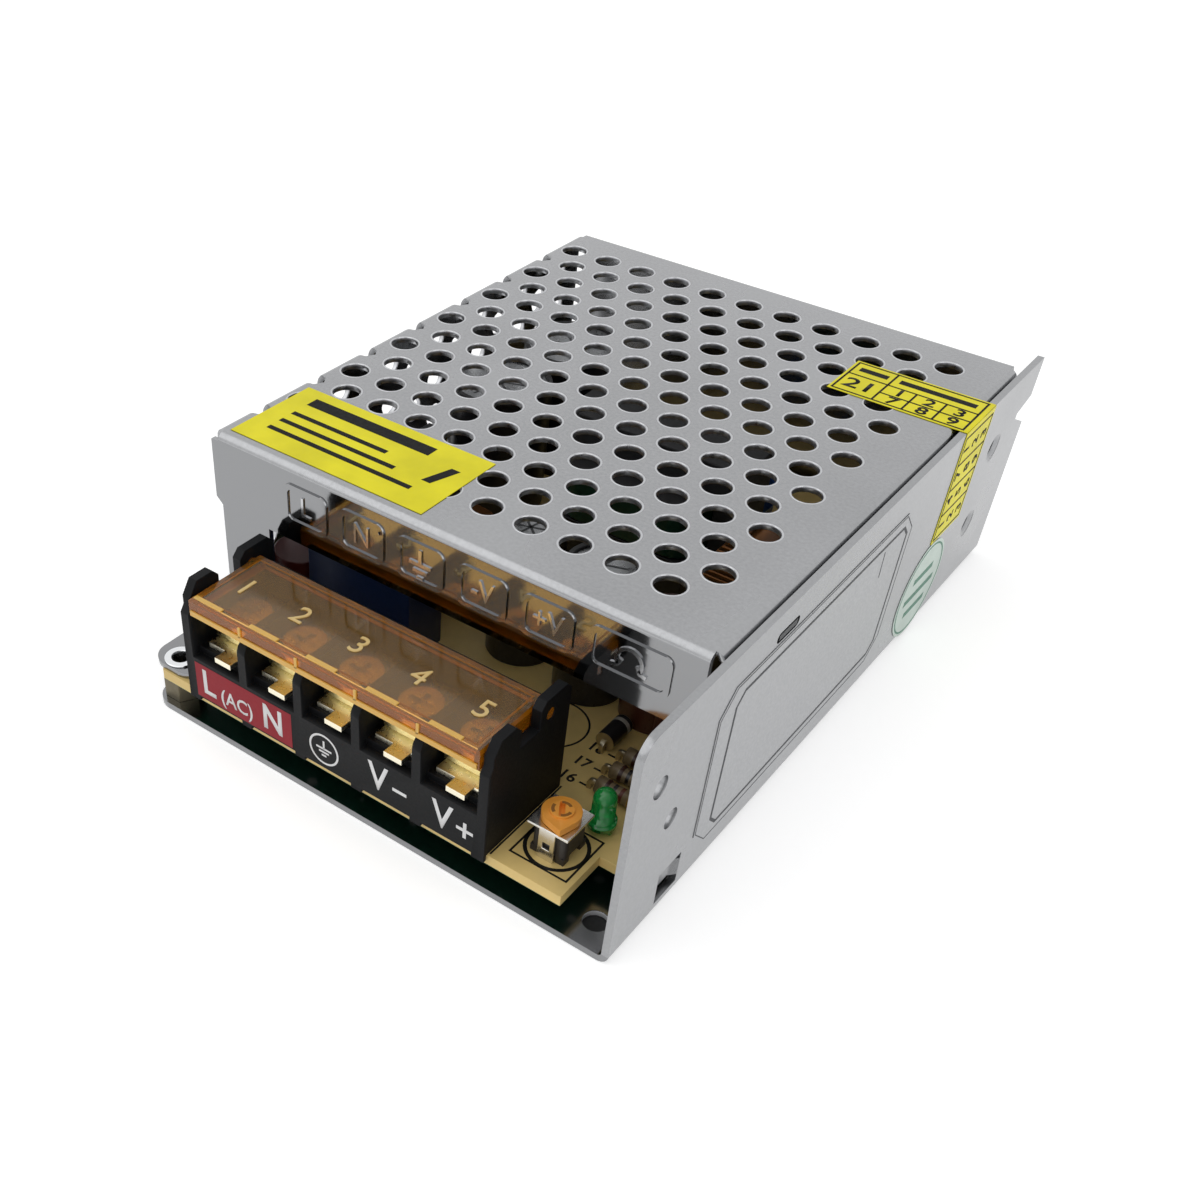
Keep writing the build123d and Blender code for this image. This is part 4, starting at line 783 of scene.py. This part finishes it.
class PSU_OT_board(bpy.types.Operator):
    """Tan circuit board with its printed guide lines, spacers, screws and film"""

    bl_idname = "psu.board"
    bl_label = "Board"

    def execute(self, context):
        settings = context.scene.psu_board
        # Paper laminate, pressed and waxed: tan with faint clouds, green lacquer and solder below
        rounded("circuit_board", "case", laminate("paper_laminate", settings.board_colour), 0.05, 1)
        # Screen-printed legend: flat black
        ink = paper("black_board_ink", "#1c1b18", 0.5)
        work = bmesh.new()
        strip(work, box_points(22.4, -52.9, 30.5, -44.7), 0.28, closed=True)
        strip(work, arc(26.45, -48.8, 3.9), 0.5, closed=True)
        strip(work, arc(13.2, -30.1, 4.8), 0.28, closed=True)
        strip(work, [(20.9, -54.9), (20.9, -39.6)], 0.25)
        for y, text in ((-37.5, "16"), (-34.1, "17"), (-30.7, "18")):
            letter(work, text, 20.4, y, 2.4, 0, 1.0, 0.05)
            strip(work, [(22.2, y), (23.4, y)], 0.3)
        laid("board_print", work, on_top(BOARD_TOP), ink, "case", 0.02)
        # Zinc-plated steel: cool grey and bright
        rounded("board_screws", "case", plain_metal("zinc_plate", "#c9cacc", 0.26), 0.12)
        # Rolled brass eyelet, tinned: brightest of the small metal
        rounded("foot_eyelet", "case", plain_metal("bright_eyelet", "#e4e6e8", 0.16), 0.12)
        # Turned brass, painted dark as the shade under the board, so that it stays dark there
        rounded("board_spacers", "case", plain_metal("painted_shade_brass", "#6c6553", 0.4), 0.1)
        # Polypropylene film: dark green and smooth
        rounded("insulating_film", "case", moulded("green_film", "#1f4a3c", 0.3), 0.0)
        return {"FINISHED"}


class PSU_OT_controls(bpy.types.Operator):
    """Voltage trimmer and green lamp"""

    bl_idname = "psu.controls"
    bl_label = "Trimmer and lamp"

    def execute(self, context):
        settings = context.scene.psu_board
        # Phenolic resin, moulded: dark brown and matt
        rounded("trimmer_base", "case", moulded("phenolic_base", "#2a2520", 0.5), 0.1)
        # Nickel-plated steel: warm, bright and a little uneven
        rounded("trimmer_frame", "case", plain_metal("nickel_bridge", "#dcdad4", 0.22), 0.08)
        # Nylon, moulded: even orange with a soft sheen
        nylon = moulded("orange_nylon", settings.rotor_colour, 0.42)
        rounded("trimmer_rotor", "rotor", nylon, 0.08, merged=False)
        # Painted shade: dark orange arcs laid on the flat top of the rotor, standing for the shade in a recess
        # round the slot
        shaded = moulded("orange_painted_recess_shade", shade(settings.rotor_colour, 0.3), 0.6)
        work = bmesh.new()
        for start in (-30, 90, 210):
            strip(work, arc(*ROTOR_AXIS, 1.12, start - 35, start + 35, 8), 0.4)
        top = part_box("trimmer_rotor")[1].z / MM
        laid("rotor_painted_recess_shade", work, on_top(top), shaded, "rotor", 0.02)
        # Epoxy, cast: saturated green, glossy and only half clear
        lamp = clear_plastic("green_epoxy", settings.lamp_colour, 0.05, 0.55)
        rounded("indicator_lamp", "case", lamp, 0.0)
        return {"FINISHED"}


class PSU_OT_small_parts(bpy.types.Operator):
    """Banded resistors and the diode on their bright leads"""

    bl_idname = "psu.small_parts"
    bl_label = "Small parts"

    def execute(self, context):
        # Dipped lacquer: brown tan with darker painted bands, tinned leads
        bands = [(0.22, "#3a1d10"), (0.38, "#171311"), (0.54, "#5a2412"), (0.74, "#8f6a2a")]
        dip = banded("resistor_dip", "#77664a", bands, start_mm=24.7, length_mm=6.6)
        rounded("band_resistors", "case", dip, 0.0)
        # Moulded epoxy: black with one silver band at the cathode
        body = banded("diode_epoxy", "#1d1c1d", [(0.72, "#a7a49b")], -30.5, 4.8, "Y", 0.14)
        rounded("axial_diode", "case", body, 0.08)
        return {"FINISHED"}


class PSU_OT_cans(bpy.types.Operator):
    """Sleeved electrolytic capacitors with scored tops"""

    bl_idname = "psu.cans"
    bl_label = "Capacitors"

    def execute(self, context):
        # Shrunk vinyl sleeve: black or brown, smooth and glossy
        black = moulded("black_sleeve", "#1d1e21", 0.3)
        brown = moulded("brown_sleeve", "#4f2a1d", 0.3)
        rounded("output_capacitors", "case", black, 0.15)
        rounded("bulk_capacitors", "case", black, 0.15)
        rounded("brown_capacitor", "case", brown, 0.15)
        rounded("small_brown_capacitor", "case", brown, 0.15)
        # Cast box: navy, smooth
        rounded("film_capacitor", "case", moulded("navy_box", "#1b2c52", 0.35), 0.2)
        # Drawn aluminium: pale grey, with dark lines laid where the vent is scored, as painted shade in its
        # grooves
        top = plain_metal("drawn_can_top", "#b4b6b8", 0.3)
        score_shade_finish = moulded("painted_score_shade_line", "#56585b", 0.5)
        # Middle, radius and height of each can's top, in millimetres
        cans = {
            "output": (12.2, -20.3, 4.15, 25.5),
            "second_output": (0.0, -19.1, 4.15, 25.5),
            "bulk": (-25.5, 29.5, 7.15, 25.5),
            "second_bulk": (-27.0, 11.5, 7.15, 25.5),
            "brown": (22.5, -19.5, 4.15, 21.5),
            "small_brown": (28.6, -25.1, 2.3, 16.5),
        }
        for name, (x, y, radius, height) in cans.items():
            work = bmesh.new()
            field(work, arc(x, y, radius, steps=36))
            laid(name + "_can_top", work, on_top(height), top, "case", 0.1)
            # Painted shade: dark lines where the vent is scored
            work = bmesh.new()
            for turn in (20, 80, 140):
                dx = 0.8 * radius * math.cos(math.radians(turn))
                dy = 0.8 * radius * math.sin(math.radians(turn))
                strip(work, [(x - dx, y - dy), (x + dx, y + dy)], 0.35)
            laid(name + "_can_score_shade", work, on_top(height + 0.1), score_shade_finish, "case", 0.03)
        return {"FINISHED"}


class PSU_OT_inside(bpy.types.Operator):
    """Transformer, chokes, chips and power parts inside the case"""

    bl_idname = "psu.inside"
    bl_label = "Inside parts"

    def execute(self, context):
        # Sintered ferrite: dull dark grey
        ferrite = moulded("grey_ferrite", "#3a3b3d", 0.55, 0.5, 0.012)
        # Enamelled copper wire: brown, laid turn by turn, with painted shade between the turns
        wire = wound("copper_enamel", "#9c6430", 0.9, "Z")
        # Moulded epoxy packages: matt black
        package = moulded("moulded_package", "#27282a", 0.45)
        rounded("transformer_core", "case", ferrite, 0.2)
        rounded("choke_core", "case", ferrite, 0.2)
        rounded("choke_windings", "case", wire, 0.2)
        rounded("inductor_winding", "case", wire, 0.2)
        # Nylon bobbin: black. Polyester tape: dark green and glossy
        rounded("transformer_bobbin", "case", moulded("black_bobbin", "#242426", 0.45), 0.1)
        rounded("transformer_winding", "case", moulded("green_tape", "#174232", 0.3), 0.3)
        # Painted iron powder ring: olive yellow
        rounded("inductor_core", "case", moulded("yellow_ring_coat", "#a8994a", 0.4), 0.2)
        rounded("fuse", "case", moulded("fuse_case", "#5c1a18", 0.4), 0.2)
        # Dipped ceramic: green or blue, glossy
        rounded("thermistor", "case", moulded("green_dip", "#29432f", 0.35), 0.2)
        rounded("disc_capacitors", "case", moulded("blue_dip", "#27549a", 0.3), 0.2)
        chips = ("controller_chip", "optocoupler")
        for node in ("bridge_rectifier", *chips, "output_rectifier", "switching_transistor"):
            rounded(node, "case", package, 0.12)
        # Silicone sheet: grey and matt
        rounded("insulating_pads", "case", moulded("pad_silicone", "#8fa0a8", 0.6), 0.0)
        rounded("device_screws", "case", plain_metal("zinc_device_screw", "#c9cacc", 0.26), 0.12)
        return {"FINISHED"}


class PSU_OT_labels(bpy.types.Operator):
    """Stuck-on labels with plain ruled print"""

    bl_idname = "psu.labels"
    bl_label = "Labels"

    def execute(self, context):
        settings = context.scene.psu_labels
        # Metallised polyester film: satin silver
        silver = plain_metal("silver_label_film", settings.film_colour, 0.4, 0.4, 0.75)
        # Coated paper: bright yellow, or pale green, with a soft sheen
        yellow = paper("yellow_label_stock", settings.sticker_colour, 0.4)
        pale = paper("pale_green_label_stock", settings.round_colour, 0.4)
        for node, stock, axes in (
            ("side_label", silver, (0,)),
            ("inspection_sticker", pale, (0,)),
            ("yellow_sticker", yellow, (2,)),
            ("date_sticker", yellow, (0, 2)),
        ):
            label = rounded(node, "case", stock, 0.0)
            for axis in axes:
                drawn_in(label, axis, 1, SUNK)
        on_side = on_wall(WALL + LABEL - SUNK)
        on_cover = on_top(COVER_TOP + LABEL - SUNK)
        # Printing ink: flat black, grey or green
        ink = paper("black_label_ink", "#0c0c0c", 0.6)
        grey = paper("grey_label_ink", "#3c3e41", 0.45)
        green = paper("green_label_ink", "#5b8a76", 0.45)
        # Side label: a thin outline and a thick frame with cut corners
        work = bmesh.new()
        strip(work, box_points(-38.2, 4.9, 13.5, 28.8, 3.0), 0.14, closed=True)
        strip(work, box_points(-34.5, 6.2, 12.0, 27.1, 1.6), 0.45, closed=True)
        strip(work, [(4.9, 26.1), (5.3, 22.0)], 0.2)
        laid("side_label_frame", work, on_side, grey, "case", PRINT)
        # Round label: a ring and plain bars
        work = bmesh.new()
        strip(work, arc(27.5, 8.3, 7.2), 0.3, closed=True)
        for z, half in ((10.9, 3.4), (8.0, 5.2), (5.2, 3.6)):
            field(work, box_points(27.5 - half, z - 0.5, 27.5 + half, z + 0.5))
        laid("round_label_print", work, on_side, green, "case", PRINT)
        # Plain bars and a slanted block on the yellow label
        work = bmesh.new()
        field(work, box_points(-33.8, -25.2, -12.8, -23.1))
        for y, ends in ((-28.0, -17.4), (-30.4, -14.2), (-32.8, -9.6)):
            field(work, box_points(-33.8, y - 0.42, ends, y + 0.42))
        field(work, [(-9.8, -30.4), (-8.4, -30.4), (-7.0, -25.8), (-8.4, -25.8)])
        laid("yellow_label_print", work, on_cover, ink, "case", PRINT)
        # Date label: ruled cells with plain numbers, on the top and down the wall
        work = bmesh.new()
        strip(work, box_points(18.9, 26.9, 38.2, 36.3), 0.3, closed=True)
        strip(work, [(24.9, 26.9), (24.9, 36.3)], 0.3)
        strip(work, [(18.9, 32.4), (38.2, 32.4)], 0.3)
        strip(work, [(24.9, 29.6), (38.2, 29.6)], 0.3)
        for x in (29.3, 33.7):
            strip(work, [(x, 26.9), (x, 32.4)], 0.3)
        field(work, box_points(19.8, 33.8, 24.1, 35.0))
        field(work, box_points(25.9, 33.8, 37.2, 35.0))
        letter(work, "21", 21.9, 29.6, 4.2, 0, 1.15, 0.06)
        for row, texts in ((31.0, "123"), (28.2, "789")):
            for column, text in enumerate(texts):
                letter(work, text, 27.3 + 4.4 * column, row, 2.9, 0, 1.2, 0.06)
        laid("date_label_print", work, on_cover, ink, "case", PRINT)
        work = bmesh.new()
        strip(work, box_points(26.9, 16.8, 36.3, 33.0), 0.3, closed=True)
        for z in (20.8, 24.8, 28.8):
            strip(work, [(26.9, z), (36.3, z)], 0.3)
        for column, y in enumerate((28.5, 31.6, 34.7)):
            for row, z in enumerate((18.8, 22.8, 26.8, 30.8)):
                letter(work, str((3 * row + column) % 9 + 1), y, z, 2.6, 90, 1.1, 0.06)
        laid("date_label_wall_print", work, on_side, ink, "case", PRINT)
        return {"FINISHED"}


class PSU_OT_stage(bpy.types.Operator):
    """White floor, soft lights and the camera"""

    bl_idname = "psu.stage"
    bl_label = "Stage"

    def execute(self, context):
        settings = context.scene.psu_stage
        scene = context.scene
        # Painted board: even and matt, lifted to white for the camera and for mirrors. It reaches past the view
        lift, reach_mm = 0.42, 6000.0
        material, tree, shader = finish("white_floor")
        shader.inputs["Base Color"].default_value = linear(settings.floor_colour)
        shader.inputs["Roughness"].default_value = 0.9
        shader.inputs["Specular IOR Level"].default_value = 0.0
        light = add(tree, "ShaderNodeLightPath")
        glow = add(tree, "ShaderNodeEmission", {"Strength": lift})
        lifted = add(tree, "ShaderNodeAddShader", {0: shader, 1: glow})
        seen = add(
            tree,
            "ShaderNodeMath",
            {0: light.outputs["Is Camera Ray"], 1: light.outputs["Is Glossy Ray"]},
            operation="ADD",
            use_clamp=True,
        )
        mixed = add(tree, "ShaderNodeMixShader", {0: seen, 1: shader, 2: lifted})
        tree.links.new(mixed.outputs[0], tree.nodes["Material Output"].inputs["Surface"])
        # Painted shade: a dark pad laid just under the base, so that its holes show shade beneath it
        shade_pad_finish = moulded("painted_shade_pad", "#1c1d1e", 0.8)
        low = CAD_BOX[0][2]
        for name, points, drop_mm, finish_of in (
            ("floor", arc(0, 0, reach_mm, steps=64), 0.08, material),
            # The dark pad is painted shade, seen only through the holes of the base
            ("mat", box_points(-36.0, -54.5, 36.0, 50.0), 0.05, shade_pad_finish),
        ):
            work = bmesh.new()
            field(work, points)
            mesh = bpy.data.meshes.new(name)
            work.to_mesh(mesh)
            work.free()
            mesh.transform(Matrix.Translation((0, 0, low - drop_mm * MM)) @ Matrix.Scale(MM, 4))
            mesh.materials.append(finish_of)
            ground = bpy.data.objects.new(name, mesh)
            scene.collection.objects.link(ground)

        world = bpy.data.worlds.new("studio")
        scene.world = world
        world.use_nodes = True
        tree = world.node_tree
        tree.nodes.clear()
        light = add(tree, "ShaderNodeLightPath")
        seen = light.outputs["Is Camera Ray"]
        for ray in ("Is Glossy Ray", "Is Transmission Ray"):
            either = {0: seen, 1: light.outputs[ray]}
            seen = add(tree, "ShaderNodeMath", either, operation="ADD", use_clamp=True).outputs[0]
        strength = add(tree, "ShaderNodeMapRange", {"Value": seen, "To Min": settings.fill, "To Max": 1.0})
        back = add(tree, "ShaderNodeBackground", {"Color": linear("#ffffff"), "Strength": strength})
        add(tree, "ShaderNodeOutputWorld", {"Surface": back})

        for name, place, size, watts in (
            ("key_lamp", (-0.35, -0.35, 0.6), 0.9, settings.key),
            ("side_lamp", (0.6, -0.15, 0.35), 0.6, settings.key * 0.5),
        ):
            lamp = bpy.data.lights.new(name, "AREA")
            lamp.energy = watts
            lamp.size = size
            holder = bpy.data.objects.new(name, lamp)
            holder.location = place
            holder.rotation_euler = (Vector((0, 0, 0.015)) - Vector(place)).to_track_quat("-Z", "Y").to_euler()
            scene.collection.objects.link(holder)

        # The camera's place, turn, lens and shift were fitted to the grid of holes and the case's corners
        camera = bpy.data.cameras.new("camera")
        camera.lens = settings.lens
        camera.sensor_width = 36.0
        camera.shift_x = 0.1537
        camera.shift_y = 0.1536
        camera.clip_start = 0.01
        camera.clip_end = 50.0
        viewer = bpy.data.objects.new("camera", camera)
        viewer.location = (0.0813, -0.14826, 0.12249)
        viewer.rotation_euler = tuple(math.radians(a) for a in (46.466, -0.975, 38.545))
        scene.collection.objects.link(viewer)
        scene.camera = viewer
        scene.view_settings.view_transform = "Standard"
        return {"FINISHED"}


class PSU_PT_panel(bpy.types.Panel):
    """The steps that dress the power supply"""

    bl_idname = "PSU_PT_panel"
    bl_label = "Power supply"
    bl_space_type = "VIEW_3D"
    bl_region_type = "UI"
    bl_category = "Power supply"

    def draw(self, context):
        for name, group in SETTINGS:
            box = self.layout.box()
            for setting in group.__annotations__:
                box.prop(getattr(context.scene, name), setting)
        for step in STEPS:
            self.layout.operator(step.bl_idname)


STEPS = (
    PSU_OT_case,
    PSU_OT_stamps,
    PSU_OT_block,
    PSU_OT_lid,
    PSU_OT_board,
    PSU_OT_controls,
    PSU_OT_small_parts,
    PSU_OT_cans,
    PSU_OT_inside,
    PSU_OT_labels,
    PSU_OT_stage,
)
SETTINGS = (
    ("psu_case", CaseSettings),
    ("psu_block", BlockSettings),
    ("psu_board", BoardSettings),
    ("psu_labels", LabelSettings),
    ("psu_stage", StageSettings),
)


def register():
    for name, group in SETTINGS:
        bpy.utils.register_class(group)
        setattr(bpy.types.Scene, name, bpy.props.PointerProperty(type=group))
    for step in STEPS:
        bpy.utils.register_class(step)
    bpy.utils.register_class(PSU_PT_panel)


def unregister():
    bpy.utils.unregister_class(PSU_PT_panel)
    for step in reversed(STEPS):
        bpy.utils.unregister_class(step)
    for name, group in reversed(SETTINGS):
        delattr(bpy.types.Scene, name)
        bpy.utils.unregister_class(group)


def main():
    register()
    for step in STEPS:
        group, name = step.bl_idname.split(".")
        getattr(getattr(bpy.ops, group), name)()


if __name__ == "__main__":
    main()
